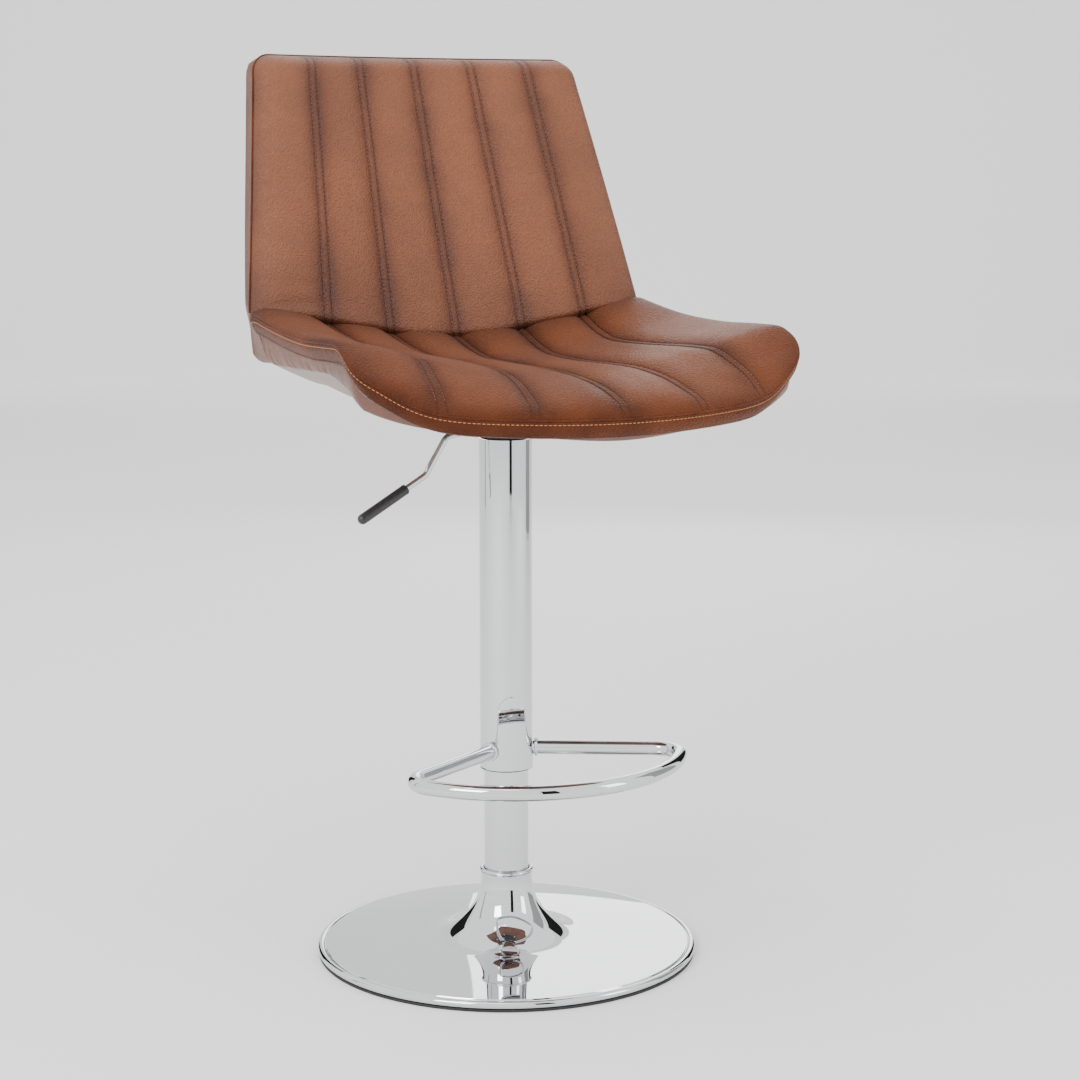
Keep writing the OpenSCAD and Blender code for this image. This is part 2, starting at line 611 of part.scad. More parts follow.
module lever_rod() {
    color("silver") difference() {
        union() {
            ring_stack(tube_rings(lever_line, lever_d / 2, function(p, h) flat_xz(p, h)));
            translate([-fulcrum_x - 9, -5, pin_z - 3.5]) cube([13, 10, 7]);
            translate([-fulcrum_x, -5, pin_z - 1.2]) cube([fulcrum_x + 4, 10, 4.7]);
            cylinder_from(hub_top + 1.4, pin_z, 2);
        }
        translate([-fulcrum_x, 20, pin_z]) rotate([90, 0, 0]) cylinder(r = 2.5 + run_fit, h = 40, $fn = 32);
    }
}
function grip_outline() = let (r = grip_d / 2, h = norm(grip_end - lever_path[3])) concat(
    [[0, 0], [r - 1, 0], [r, 1]],
    [for (a = [0 : 15 : 90]) [r * cos(a), h - r + r * sin(a)]]);
module lever_grip() {
    color("black") {
        translate([lever_path[3][0], 0, lever_path[3][1]])
            rotate([0, 90 - atan2(grip_end[1] - lever_path[3][1], grip_end[0] - lever_path[3][0]), 0])
            rotate_extrude() polygon(grip_outline());
    }
}
module valve_button() {
    color("gray") cylinder_from(cyl_top - 22, hub_top + 0.8, 3);
}

base_plate();
base_floor_ring();
ballast_plate();
base_bolts();
column_flange();
lower_tube();
tube_floor();
bearing_lower_race();
bearing_balls();
guide_bush();
bearing_upper_race();
piston_rod();
rod_clip();
rod_bumper();
piston();
gas_cylinder();
cylinder_gland();
tube_top_ring();
cover_tube();
cover_tube_bush();
footrest_loop();
footrest_saddle();
mount_hub();
lever_bracket();
fulcrum_pin();
mount_plate();
mount_washers();
mount_bolts();
tee_nuts();
seat_shell();
underside_cover();
back_cover();
seat_cushion();
back_cushion();
lever_rod();
lever_grip();
valve_button();
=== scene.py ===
import math
import bpy
import numpy as np
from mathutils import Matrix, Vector


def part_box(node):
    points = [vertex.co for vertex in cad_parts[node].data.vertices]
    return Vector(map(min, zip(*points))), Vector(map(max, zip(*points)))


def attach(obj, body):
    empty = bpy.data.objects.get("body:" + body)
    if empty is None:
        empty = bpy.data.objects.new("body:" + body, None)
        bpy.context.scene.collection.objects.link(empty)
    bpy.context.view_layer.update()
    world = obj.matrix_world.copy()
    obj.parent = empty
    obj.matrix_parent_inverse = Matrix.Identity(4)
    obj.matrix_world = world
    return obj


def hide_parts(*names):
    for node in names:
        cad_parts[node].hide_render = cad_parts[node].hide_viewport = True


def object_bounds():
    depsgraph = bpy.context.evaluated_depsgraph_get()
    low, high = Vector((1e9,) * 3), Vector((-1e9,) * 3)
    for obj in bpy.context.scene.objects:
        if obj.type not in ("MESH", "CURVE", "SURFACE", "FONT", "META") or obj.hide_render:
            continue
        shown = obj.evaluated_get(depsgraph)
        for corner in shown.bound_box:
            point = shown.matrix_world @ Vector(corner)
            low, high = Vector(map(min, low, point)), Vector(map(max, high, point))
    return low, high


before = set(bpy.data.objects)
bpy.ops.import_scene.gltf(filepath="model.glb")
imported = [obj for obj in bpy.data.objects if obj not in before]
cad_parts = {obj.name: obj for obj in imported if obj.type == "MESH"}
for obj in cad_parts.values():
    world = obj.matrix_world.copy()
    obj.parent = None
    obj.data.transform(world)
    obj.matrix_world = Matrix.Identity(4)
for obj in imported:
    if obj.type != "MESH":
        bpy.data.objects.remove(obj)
cad_box = [list(corner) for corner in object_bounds()]

# ---- Studio ----
# A plain pale floor, a bright room with a few dark flags for the chrome to mirror, and soft
# panel lights. The camera stands in front of the sitter's right knee, a little under eye level.
camera_place = (-1.0405, -2.1173, 0.8009)
camera_tilt = 90 - 9.137
camera_turn = -27.0
camera_lens = 80.0

bpy.ops.object.select_all(action="DESELECT")
bpy.ops.object.camera_add(location=camera_place,
                          rotation=(math.radians(camera_tilt), 0, math.radians(camera_turn)))
camera = bpy.context.object
camera.data.lens = camera_lens
bpy.context.scene.camera = camera


stool_middle = (0, 0, 0.65)
room_light = 1.75


def panel_light(name, place, width, height, power):
    """A soft rectangular light turned to the middle of the stool, in metres and watts."""
    bpy.ops.object.light_add(type="AREA", location=place)
    lamp = bpy.context.object
    lamp.name = name
    lamp.data.shape = "RECTANGLE"
    lamp.data.size = width
    lamp.data.size_y = height
    lamp.data.energy = power
    lamp.rotation_euler = (Vector(stool_middle) - Vector(place)).to_track_quat("-Z", "Y").to_euler()


panel_light("key_panel", (-2.6, -1.5, 2.3), 1.3, 1.3, 58)
panel_light("fill_panel", (2.0, -2.3, 1.3), 0.8, 1.6, 16)
panel_light("top_panel", (-0.6, -0.4, 3.0), 1.2, 1.2, 14)
panel_light("rim_panel", (1.6, 2.4, 1.2), 1.0, 1.4, 10)

world = bpy.data.worlds.new("studio")
bpy.context.scene.world = world
world.use_nodes = True
world.node_tree.nodes["Background"].inputs["Color"].default_value = (1, 1, 1, 1)
world.node_tree.nodes["Background"].inputs["Strength"].default_value = room_light


def new_material(name):
    """A node material with its Principled shader, and its node and link makers."""
    material = bpy.data.materials.new(name)
    material.use_nodes = True
    tree = material.node_tree
    return material, tree.nodes["Principled BSDF"], tree.nodes.new, tree.links.new


def matt_paint(name, grey):
    """Matt studio paint, very slightly mottled."""
    material, shader, node, link = new_material(name)
    grain = node("ShaderNodeTexNoise")
    grain.inputs["Scale"].default_value = 3.0
    shade = node("ShaderNodeValToRGB")
    shade.color_ramp.elements[0].color = (grey * 0.98, grey * 0.98, grey * 0.98, 1)
    shade.color_ramp.elements[1].color = (grey, grey, grey, 1)
    link(grain.outputs["Fac"], shade.inputs["Fac"])
    link(shade.outputs["Color"], shader.inputs["Base Color"])
    shader.inputs["Roughness"].default_value = 0.9
    shader.inputs["Specular IOR Level"].default_value = 0.1
    return material


def chosen(piece):
    """Leaves one piece selected and active."""
    bpy.ops.object.select_all(action="DESELECT")
    piece.select_set(True)
    bpy.context.view_layer.objects.active = piece


def placed(name, data):
    """Puts a new mesh or curve in the scene as a piece, and chooses it."""
    piece = bpy.data.objects.new(name, data)
    bpy.context.collection.objects.link(piece)
    chosen(piece)
    return piece


def meshed(name, points, faces, edges=()):
    """A new piece from points in metres."""
    mesh = bpy.data.meshes.new(name)
    mesh.from_pydata(points, edges, faces)
    return placed(name, mesh)


# The floor runs away from the camera, curves up and becomes the backdrop
heading = math.radians(90 + camera_turn)
forward = (math.cos(heading), math.sin(heading))
sweep_r = 3.0
sweep_near = -9.0
sweep_bend = 7.0
sweep_top = 9.0
sweep_half = 14.0
sweep = [(away, 0.0) for away in (sweep_near, -3.0, 0.0, 3.0, sweep_bend)]
sweep += [(sweep_bend + sweep_r * math.sin(a), sweep_r * (1 - math.cos(a)))
          for a in np.linspace(0.1, math.pi / 2, 16)]
sweep.append((sweep_bend + sweep_r, sweep_top))
floor_z = cad_box[0][2] - 0.0002
floor_points = [(away * forward[0] - side * forward[1], away * forward[1] + side * forward[0], floor_z + up)
                for away, up in sweep for side in (sweep_half, -sweep_half)]
floor = meshed("studio_floor", floor_points,
               [(2 * i, 2 * i + 1, 2 * i + 3, 2 * i + 2) for i in range(len(sweep) - 1)])
floor.data.materials.append(matt_paint("floor_paint", 0.90))
floor.data.shade_smooth()

card_black = matt_paint("card_black", 0.012)
card_grey = matt_paint("card_grey", 0.30)
card_lift = 0.02


def card(name, bearing, distance, width, height, material):
    """An upright card facing the stool, its bearing counted from the camera's towards the camera's right."""
    azimuth = math.atan2(camera_place[1], camera_place[0]) + math.radians(bearing)
    middle = (distance * math.cos(azimuth), distance * math.sin(azimuth), height / 2 + card_lift)
    bpy.ops.object.select_all(action="DESELECT")
    bpy.ops.mesh.primitive_plane_add(size=1, location=middle,
                                     rotation=(math.pi / 2, 0, azimuth + math.pi / 2))
    board = bpy.context.object
    board.scale = (width, height, 1)
    bpy.ops.object.transform_apply(location=True, rotation=True, scale=True)
    board.name = name
    board.data.materials.append(material)


card("card_line", 22, 3.2, 0.62, 2.6, card_black)
card("card_side", 112, 2.6, 1.3, 2.4, card_grey)
card("card_left", -98, 3.0, 0.25, 2.2, card_grey)
card("card_behind_right", 147, 6.0, 2.2, 4.0, card_black)
card("card_behind_left", -147, 6.0, 2.2, 4.0, card_black)

# ---- Base ----
# A pressed and chromed steel dish with a trumpet neck, its rim rolled over a black rubber floor
# ring. A steel ballast plate and the column's flange are bolted inside it.
MM = 0.001


def noise_at(node, link, name, scale, detail):
    """A noise node on object coordinates."""
    place = node("ShaderNodeTexCoord")
    noise = node("ShaderNodeTexNoise")
    noise.name = name
    noise.inputs["Scale"].default_value = scale
    noise.inputs["Detail"].default_value = detail
    link(place.outputs["Object"], noise.inputs["Vector"])
    return noise


def bumped(node, link, height, shader, strength, distance):
    """Feeds a height to the shader's normal through a bump node."""
    bump = node("ShaderNodeBump")
    bump.inputs["Strength"].default_value = strength
    bump.inputs["Distance"].default_value = distance
    link(height, bump.inputs["Height"])
    link(bump.outputs["Normal"], shader.inputs["Normal"])


def metal(name, colour, rough_low, rough_high, patch_scale, mark_depth):
    """Plated or ground metal: its polish varies in soft patches, and very fine marks break its shine."""
    material, shader, node, link = new_material(name)
    shader.inputs["Metallic"].default_value = 1.0
    patches = noise_at(node, link, "polish_patches", patch_scale, 3.0)
    tint = node("ShaderNodeMapRange")
    tint.inputs["To Min"].default_value = rough_low
    tint.inputs["To Max"].default_value = rough_high
    link(patches.outputs["Fac"], tint.inputs["Value"])
    link(tint.outputs["Result"], shader.inputs["Roughness"])
    cloud = node("ShaderNodeMix")
    cloud.data_type = "RGBA"
    cloud.inputs["A"].default_value = (*[c * 0.96 for c in colour], 1)
    cloud.inputs["B"].default_value = (*colour, 1)
    link(patches.outputs["Fac"], cloud.inputs["Factor"])
    link(cloud.outputs["Result"], shader.inputs["Base Color"])
    marks = noise_at(node, link, "fine_marks", 900.0, 1.0)
    bumped(node, link, marks.outputs["Fac"], shader, mark_depth, 0.00002)
    return material


def floor_rubber():
    """Dull black rubber with a fine pebble."""
    material, shader, node, link = new_material("floor_rubber")
    shader.inputs["Roughness"].default_value = 0.75
    speckle = noise_at(node, link, "rubber_speckle", 400.0, 2.0)
    tone = node("ShaderNodeValToRGB")
    tone.color_ramp.elements[0].color = (0.010, 0.010, 0.011, 1)
    tone.color_ramp.elements[1].color = (0.035, 0.035, 0.036, 1)
    link(speckle.outputs["Fac"], tone.inputs["Fac"])
    link(tone.outputs["Color"], shader.inputs["Base Color"])
    bumped(node, link, speckle.outputs["Fac"], shader, 0.4, 0.0002)
    return material


def finish_nodes(material, *names):
    """Gives CAD nodes a finish in place of their plain one."""
    for name in names:
        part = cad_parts[name]
        part.data.materials.clear()
        part.data.materials.append(material)


def finish_piece(piece, name, material, body, slot, *stands_for):
    """Names a finished piece, gives it its finish and hands it to its body."""
    piece.name = name
    piece.data.materials.clear()
    piece.data.materials.append(material)
    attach(piece, body)
    if stands_for:
        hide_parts(*stands_for)


def smooth_by_angle(piece, degrees):
    """Smooth shading over every edge that turns less than an angle."""
    chosen(piece)
    bpy.ops.object.shade_smooth_by_angle(angle=math.radians(degrees))


def facing_out():
    """Turns every face of the chosen piece outwards."""
    bpy.ops.object.mode_set(mode="EDIT")
    bpy.ops.mesh.select_all(action="SELECT")
    bpy.ops.mesh.normals_make_consistent(inside=False)
    bpy.ops.object.mode_set(mode="OBJECT")


def spun(profile):
    """A closed profile of (radius, height) points in millimetres, spun once round the Z axis."""
    points = [(r * MM, 0, z * MM) for r, z in profile]
    piece = meshed("profile", points, [], [(i, (i + 1) % len(points)) for i in range(len(points))])
    bpy.ops.object.mode_set(mode="EDIT")
    bpy.ops.mesh.select_all(action="SELECT")
    bpy.ops.mesh.spin(steps=160, angle=2 * math.pi, center=(0, 0, 0), axis=(0, 0, 1))
    bpy.ops.mesh.select_all(action="SELECT")
    bpy.ops.mesh.remove_doubles(threshold=0.00001)
    bpy.ops.mesh.normals_make_consistent(inside=False)
    bpy.ops.object.mode_set(mode="OBJECT")
    smooth_by_angle(piece, 35)
    return piece


chrome = metal("mirror_chrome", (0.63, 0.64, 0.655), 0.012, 0.035, 14.0, 0.03)
black_rubber = floor_rubber()

dish_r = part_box("base_plate")[1].x / MM
dish_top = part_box("base_plate")[1].z / MM
tube_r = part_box("lower_tube")[1].x / MM
bead = 3.9
sheet = 1.6
foot_r = 84
foot_z = 17.0
plate_r = dish_r - 2 * bead - 0.5
plate_z = 10.5
lip_r = 2.2
neck_r = tube_r + 3.4
waist_z = dish_top - 9
neck_end_z = dish_top - 14
tube_gap = 0.35


def neck_curve(grow):
    """The flare from the neck's waist down to its foot, then the shallow plate out to the rim."""
    flare = [(foot_r - (foot_r - neck_r + grow) * math.cos(a),
              foot_z - grow + (waist_z - foot_z) * (1 - math.sin(a)))
             for a in np.linspace(0, math.pi / 2, 30)]
    sag = [(foot_r + (plate_r - foot_r) * t, foot_z - grow + (plate_z - foot_z) * (0.35 * t + 0.65 * t * t))
           for t in np.linspace(0.06, 1, 14)]
    return flare + sag


rolled_lip = [(tube_r + lip_r + 0.4 + lip_r * math.cos(a), dish_top - lip_r + lip_r * math.sin(a))
              for a in np.linspace(math.pi, -math.pi / 3, 13)]
rim_roll = [(dish_r - bead + bead * math.cos(a), bead + 2.5 + bead * math.sin(a))
            for a in np.linspace(math.radians(150), math.radians(-150), 22)]
dish_profile = ([(tube_r + tube_gap, neck_end_z)] + rolled_lip + neck_curve(0)
                + [(plate_r + 0.9, plate_z - 1.4)] + rim_roll
                + [(plate_r - 1.5, 5.0)] + neck_curve(sheet)[::-1])
dish = spun(dish_profile)
finish_piece(dish, "base_dish", chrome, "base", "chrome", "base_plate")
finish_nodes(black_rubber, "base_floor_ring")

# ---- Column ----
# Two chromed tubes that slide one over the other on a black moulded bush, round a gas spring.
# The races, clip, bush and flange inside them are zinc plated, natural acetal and painted steel.
zinc = metal("zinc_plate", (0.62, 0.63, 0.64), 0.28, 0.42, 60.0, 0.3)
ground_steel = metal("ground_rod", (0.70, 0.71, 0.72), 0.10, 0.16, 30.0, 0.1)


def coated(name, dark, light, rough, grain_scale, grain_depth):
    """A moulded or powder-coated surface: fine orange peel and a slight mottle."""
    material, shader, node, link = new_material(name)
    peel = noise_at(node, link, "orange_peel", grain_scale, 2.0)
    mottle = node("ShaderNodeValToRGB")
    mottle.color_ramp.elements[0].position = 0.35
    mottle.color_ramp.elements[1].position = 0.7
    mottle.color_ramp.elements[0].color = (*dark, 1)
    mottle.color_ramp.elements[1].color = (*light, 1)
    link(peel.outputs["Fac"], mottle.inputs["Fac"])
    link(mottle.outputs["Color"], shader.inputs["Base Color"])
    shader.inputs["Roughness"].default_value = rough
    bumped(node, link, peel.outputs["Fac"], shader, 0.35, grain_depth)
    return material


black_steel = coated("black_powder_coat", (0.018, 0.018, 0.020), (0.034, 0.034, 0.036), 0.42, 700.0, 0.00008)
black_moulding = coated("black_moulding", (0.012, 0.012, 0.013), (0.024, 0.024, 0.025), 0.33, 500.0, 0.00005)
acetal = coated("white_acetal", (0.70, 0.69, 0.66), (0.80, 0.79, 0.76), 0.45, 300.0, 0.00004)
finish_nodes(chrome, "lower_tube", "cover_tube")
finish_nodes(black_moulding, "cover_tube_bush", "rod_bumper")
finish_nodes(acetal, "guide_bush")
finish_nodes(black_steel, "gas_cylinder", "column_flange", "ballast_plate", "tube_floor", "mount_hub")
finish_nodes(ground_steel, "piston_rod", "bearing_balls", "valve_button")
finish_nodes(zinc, "base_bolts", "bearing_lower_race", "bearing_upper_race", "rod_clip", "piston",
             "cylinder_gland", "tube_top_ring")

# ---- Footrest ----
# A chromed tube bent to a D, its two arms welded to a thin pressed saddle that hugs the cover tube
# and runs up to a rounded tongue with a folded head.
rest_lo, rest_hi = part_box("footrest_loop")
rest_r = (rest_hi.z - rest_lo.z) / 2 / MM
rest_z = (rest_hi.z + rest_lo.z) / 2 / MM
rest_front = rest_lo.y / MM + rest_r
cover_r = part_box("cover_tube")[1].x / MM
arc_r = 164
arc_c = rest_front + arc_r
elbow_r = 26
arm_turn = math.radians(30)
arm_from = np.array([cover_r * 0.87, -cover_r * 0.53])
arm_way = np.array([math.cos(arm_turn), -math.sin(arm_turn)])
to_arm = arm_from + elbow_r * np.array([-math.sin(arm_turn), -math.cos(arm_turn)]) - np.array([0, arc_c])
along = to_arm @ arm_way
reach = -along + math.sqrt(along * along - to_arm @ to_arm + (arc_r - elbow_r) ** 2)
elbow_c = np.array([0, arc_c]) + to_arm + reach * arm_way
elbow_turn = math.atan2(elbow_c[1] - arc_c, elbow_c[0])
half_route = ([(arc_r * math.cos(a), arc_c + arc_r * math.sin(a))
               for a in np.linspace(-math.pi / 2, elbow_turn, 40, endpoint=False)]
              + [(elbow_c[0] + elbow_r * math.cos(a), elbow_c[1] + elbow_r * math.sin(a))
                 for a in np.linspace(elbow_turn, math.pi / 2 - arm_turn, 24)]
              + [tuple(arm_from + arm_way * d) for d in (60, 40, 20, 0)])
route = [(-x, y, rest_z) for x, y in half_route[:0:-1]] + [(x, y, rest_z) for x, y in half_route]


def tube_along(points, radius, sides):
    """A round tube whose centreline passes through points, in millimetres, made a mesh."""
    curve = bpy.data.curves.new("route", "CURVE")
    curve.dimensions = "3D"
    line = curve.splines.new("POLY")
    line.points.add(len(points) - 1)
    for point, target in zip(line.points, points):
        point.co = (*[c * MM for c in target], 1)
    curve.bevel_depth = radius * MM
    curve.bevel_resolution = sides // 4 - 1
    curve.use_fill_caps = True
    placed("route", curve)
    bpy.ops.object.convert(target="MESH")
    piece = bpy.context.object
    smooth_by_angle(piece, 40)
    return piece


rest = tube_along(route, rest_r, 32)
finish_piece(rest, "footrest_tube", chrome, "lift", "chrome", "footrest_loop")


bead_r = 1.5
bead_ripples = 18
bead_out = 3.4


def weld_bead(centre, axis, radius, name):
    """A rippled ring of weld where a tube meets a plate."""
    bpy.ops.object.select_all(action="DESELECT")
    bpy.ops.mesh.primitive_torus_add(major_radius=radius * MM, minor_radius=bead_r * MM,
                                     major_segments=64, minor_segments=12)
    piece = bpy.context.object
    turn = Vector(axis).to_track_quat("Z", "Y").to_matrix()
    for vertex in piece.data.vertices:
        around = math.atan2(vertex.co.y, vertex.co.x)
        swell = 1 + 0.16 * math.cos(bead_ripples * around)
        flat = Vector((vertex.co.x, vertex.co.y, 0)).normalized() * radius * MM
        vertex.co = turn @ (flat + (vertex.co - flat) * swell) + Vector(centre) * MM
    smooth_by_angle(piece, 60)
    finish_piece(piece, name, chrome, "lift", "chrome")


for side, label in ((-1, "right"), (1, "left")):
    joint = (side * (arm_from[0] + bead_out * arm_way[0]), arm_from[1] + bead_out * arm_way[1], rest_z)
    weld_bead(joint, (side * arm_way[0], arm_way[1], 0), rest_r + 0.3, "weld_" + label)
finish_nodes(chrome, "footrest_saddle")

# ---- Seat mount and lever ----
# A welded black plate and hub on the gas spring's taper, bolted up into the shell's tee nuts.
# The bent lever rod pivots in two lugs, presses the valve and ends in a moulded grip.
finish_nodes(black_steel, "mount_plate", "lever_bracket")
finish_nodes(zinc, "mount_washers", "mount_bolts", "tee_nuts", "fulcrum_pin")
finish_nodes(chrome, "lever_rod")
finish_nodes(black_moulding, "lever_grip")
beech = coated("beech_plywood", (0.42, 0.28, 0.16), (0.60, 0.43, 0.26), 0.6, 90.0, 0.0001)
finish_nodes(beech, "seat_shell")

# ---- Seat cushion ----
# Moulded foam under a pebbled brown leather panel, sewn into six padded channels. A boxing band is
# sewn round its edge, and it is closed over the shell's edge and held down by the outer cover.


def value_group(name, inputs, outputs):
    """An empty shader node group with number inputs and outputs."""
    group = bpy.data.node_groups.new(name, "ShaderNodeTree")
    for label, start in inputs:
        socket = group.interface.new_socket(label, in_out="INPUT", socket_type="NodeSocketFloat")
        socket.default_value = start
    for label in outputs:
        group.interface.new_socket(label, in_out="OUTPUT", socket_type="NodeSocketFloat")
    return group, group.nodes.new("NodeGroupInput"), group.nodes.new("NodeGroupOutput")


def hide_grain_group():
    """The hide's grain: rounded pebbles and creases as a height, soft clouds and fine specks."""
    group, grain_in, grain_out = value_group(
        "hide_grain", [("Pebble size", 1.3), ("Crease", 0.4)], ["Height", "Cloud", "Speck"])
    node, link = group.nodes.new, group.links.new
    place = node("ShaderNodeTexCoord")
    per_metre = node("ShaderNodeMath")
    per_metre.operation = "DIVIDE"
    per_metre.inputs[0].default_value = 1000.0
    link(grain_in.outputs["Pebble size"], per_metre.inputs[1])
    warp = noise_at(node, link, "pebble_warp", 260.0, 1.0)
    bend = node("ShaderNodeVectorMath")
    bend.operation = "MULTIPLY_ADD"
    bend.inputs[1].default_value = (0.0022, 0.0022, 0.0022)
    link(warp.outputs["Color"], bend.inputs[0])
    link(place.outputs["Object"], bend.inputs[2])
    cells = node("ShaderNodeTexVoronoi")
    cells.feature = "SMOOTH_F1"
    cells.inputs["Smoothness"].default_value = 0.6
    link(per_metre.outputs[0], cells.inputs["Scale"])
    link(bend.outputs[0], cells.inputs["Vector"])
    pebbles = node("ShaderNodeMapRange")
    pebbles.inputs["From Min"].default_value = 0.1
    pebbles.inputs["From Max"].default_value = 0.65
    pebbles.inputs["To Min"].default_value = 1.0
    pebbles.inputs["To Max"].default_value = 0.0
    link(cells.outputs["Distance"], pebbles.inputs["Value"])
    folds = noise_at(node, link, "creases", 95.0, 3.0)
    folds.inputs["Roughness"].default_value = 0.62
    fold_part = node("ShaderNodeMath")
    fold_part.operation = "MULTIPLY"
    link(folds.outputs["Fac"], fold_part.inputs[0])
    link(grain_in.outputs["Crease"], fold_part.inputs[1])
    height = node("ShaderNodeMath")
    height.operation = "ADD"
    link(pebbles.outputs["Result"], height.inputs[0])
    link(fold_part.outputs[0], height.inputs[1])
    link(height.outputs[0], grain_out.inputs["Height"])
    cloud = noise_at(node, link, "clouds", 11.0, 4.0)
    cloud.inputs["Roughness"].default_value = 0.55
    link(cloud.outputs["Fac"], grain_out.inputs["Cloud"])
    speck = noise_at(node, link, "specks", 420.0, 2.0)
    link(speck.outputs["Fac"], grain_out.inputs["Speck"])
    return group


hide_grain = hide_grain_group()


def leather(name, dark, mid, worn_highlight, grain_depth, rough, gloss):
    """Brown leather: clouded, darker at the mesh's seam mark (dark stitch lines, and painted shade in the
    grooves and the crease) and lighter at its lift mark (wear, and a painted highlight on the swells).
    """
    material, shader, node, link = new_material(name)
    hide = node("ShaderNodeGroup")
    hide.node_tree = hide_grain
    hide.inputs["Pebble size"].default_value = 1.9
    hide.inputs["Crease"].default_value = 0.5
    seam = node("ShaderNodeAttribute")
    seam.attribute_name = "seam"
    lift = node("ShaderNodeAttribute")
    lift.attribute_name = "lift"

    def mixed(factor, a, b):
        mix = node("ShaderNodeMix")
        mix.data_type = "RGBA"
        link(factor, mix.inputs["Factor"])
        for socket, value in (("A", a), ("B", b)):
            if isinstance(value, tuple):
                mix.inputs[socket].default_value = (*value, 1)
            else:
                link(value, mix.inputs[socket])
        return mix.outputs["Result"]

    def ranged(value, low, high, top=1.0, base=0.0):
        span = node("ShaderNodeMapRange")
        span.inputs["From Min"].default_value = low
        span.inputs["From Max"].default_value = high
        span.inputs["To Min"].default_value = base
        span.inputs["To Max"].default_value = top
        link(value, span.inputs["Value"])
        return span.outputs["Result"]

    clouds = mixed(ranged(hide.outputs["Cloud"], 0.36, 0.66), dark, mid)
    # The lift mark lightens the swells of the channels: partly wear, partly a painted highlight.
    worn_and_highlit = mixed(ranged(lift.outputs["Fac"], 0.2, 1.0, 0.45), clouds, worn_highlight)
    flecked = mixed(ranged(hide.outputs["Speck"], 0.35, 0.75, 0.30), worn_and_highlit, dark)
    # The seam mark darkens the leather: dark stitch lines, and painted shade in the grooves and towards the
    # crease.
    seam_shaded = mixed(ranged(seam.outputs["Fac"], 0.0, 1.0, 0.75), flecked, tuple(c * 0.45 for c in dark))
    link(seam_shaded, shader.inputs["Base Color"])
    link(ranged(hide.outputs["Height"], 0.1, 1.3, rough - 0.06, rough + 0.14), shader.inputs["Roughness"])
    shader.inputs["Sheen Weight"].default_value = 0.05
    shader.inputs["Sheen Roughness"].default_value = 0.4
    shader.inputs["Specular IOR Level"].default_value = gloss
    bumped(node, link, hide.outputs["Height"], shader, 0.8, grain_depth)
    return material


# A darker copy of the back's leather, which paints shade on the seat. The gathered hem and the welts use it
# too.
shaded_leather = leather("shaded_leather", (0.056, 0.013, 0.004), (0.122, 0.032, 0.009), (0.205, 0.060, 0.019),
                       0.0008, 0.40, 0.10)

# The bucket is a flat deck, a tight bend and a leaning back, all dished across. Both cushions and
# the outer cover are cut to these lines, in millimetres.
seat_lo, seat_hi = [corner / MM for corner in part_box("seat_cushion")]
boxing = 18.0
front_edge = -seat_lo.y
rear_edge = seat_hi.y
deck = seat_lo.z + boxing + 3
welt_front = seat_lo.z + boxing
plan_r = 400.0
nose_r = 30.0
side_flare = 0.064
seat_half = 219.0
plan_c = plan_r - front_edge
crown = 35.0
crease_y = 107.0
dish_k = 0.0012
lean = math.radians(21)
bend_r = 60.0
bend_y = crease_y - 31
bend_a = math.pi / 2 - lean
bend_z = deck + bend_r
nose_fade = front_edge - 23


def ease(t):
    """A smooth step from 0 to 1."""
    t = np.clip(t, 0, 1)
    return t * t * (3 - 2 * t)


def half_width(y):
    """Half the seat's width at y, along its straight sides."""
    return seat_half + side_flare * (110 - y)


def front_line(x):
    """The seat's front edge, one long arc."""
    return plan_c - np.sqrt(plan_r ** 2 - x * x)


# Each nose corner is an arc inside the front arc and the straight side. Its centre is found by repeats
nose_y = -150.0
for repeat in range(6):
    nose_x = half_width(nose_y) - nose_r
    nose_y = plan_c - math.sqrt((plan_r - nose_r) ** 2 - nose_x ** 2)
nose_turn = math.atan2(nose_y - plan_c, nose_x)


def welt_height(x, y):
    """Height of the welt round the seat, which climbs from the front towards the rear corners."""
    q = (x / 236) ** 2
    return (welt_front + 12.6 * q + 55 * q * ease((y + nose_fade) / 95)
            + 19.5 * q * np.clip((y + 60) / 170, 0, 1) ** 1.6 + 4.5 * q * np.exp(-((y + 188) / 14) ** 2))


def rise(x, y):
    """How far the dish lifts the shell above its middle line."""
    return dish_k * x * x * ease((y + nose_fade) / 150)


def shell_height(x, y):
    """Top of the shell under the seat and over the first part of the bend."""
    bend = bend_z - np.sqrt(bend_r ** 2 - np.clip(y - bend_y, 0, bend_r - 1) ** 2)
    return rise(x, y) + np.where(y < bend_y, deck, bend)


def swing(d, low, high, round_off=4.0):
    """A line that turns gently from one slope to another at zero."""
    return np.sqrt(round_off ** 2 + (d * np.where(d > 0, high, low)) ** 2) - round_off


def seat_seam(k, y):
    """Place across the seat of seam k, from -2 to 2."""
    if k == 0:
        return 0 * y
    reach = 57 + swing(y + 50, 0.175, 0.125) if abs(k) == 1 else 132 + swing(y - 10, 0.165, 0.154)
    return math.copysign(1, k) * reach


# Six padded channels are divided by five double-stitched seams. Each seam is a narrow raised strip
# between two stitch lines, and the filling swells between the strips.
strip_half = 4.0
seam_offsets = [-7.0, -5.2, -4.4, -4.0, -3.4, -1.8, 0, 1.8, 3.4, 4.0, 4.4, 5.2, 7.0]
margin = seam_offsets[-1]
inner_cols = 9
outer_cols = 15
edge_shares = [1 - (1 - step / outer_cols) ** 1.7 for step in range(1, outer_cols + 1)]
columns = [("edge", -1, share) for share in reversed(edge_shares)]
for k in range(-2, 3):
    columns += [("seam", k, offset) for offset in seam_offsets]
    if k < 2:
        columns += [("between", k, i / (inner_cols + 1)) for i in range(1, inner_cols + 1)]
columns += [("edge", 1, share) for share in edge_shares]


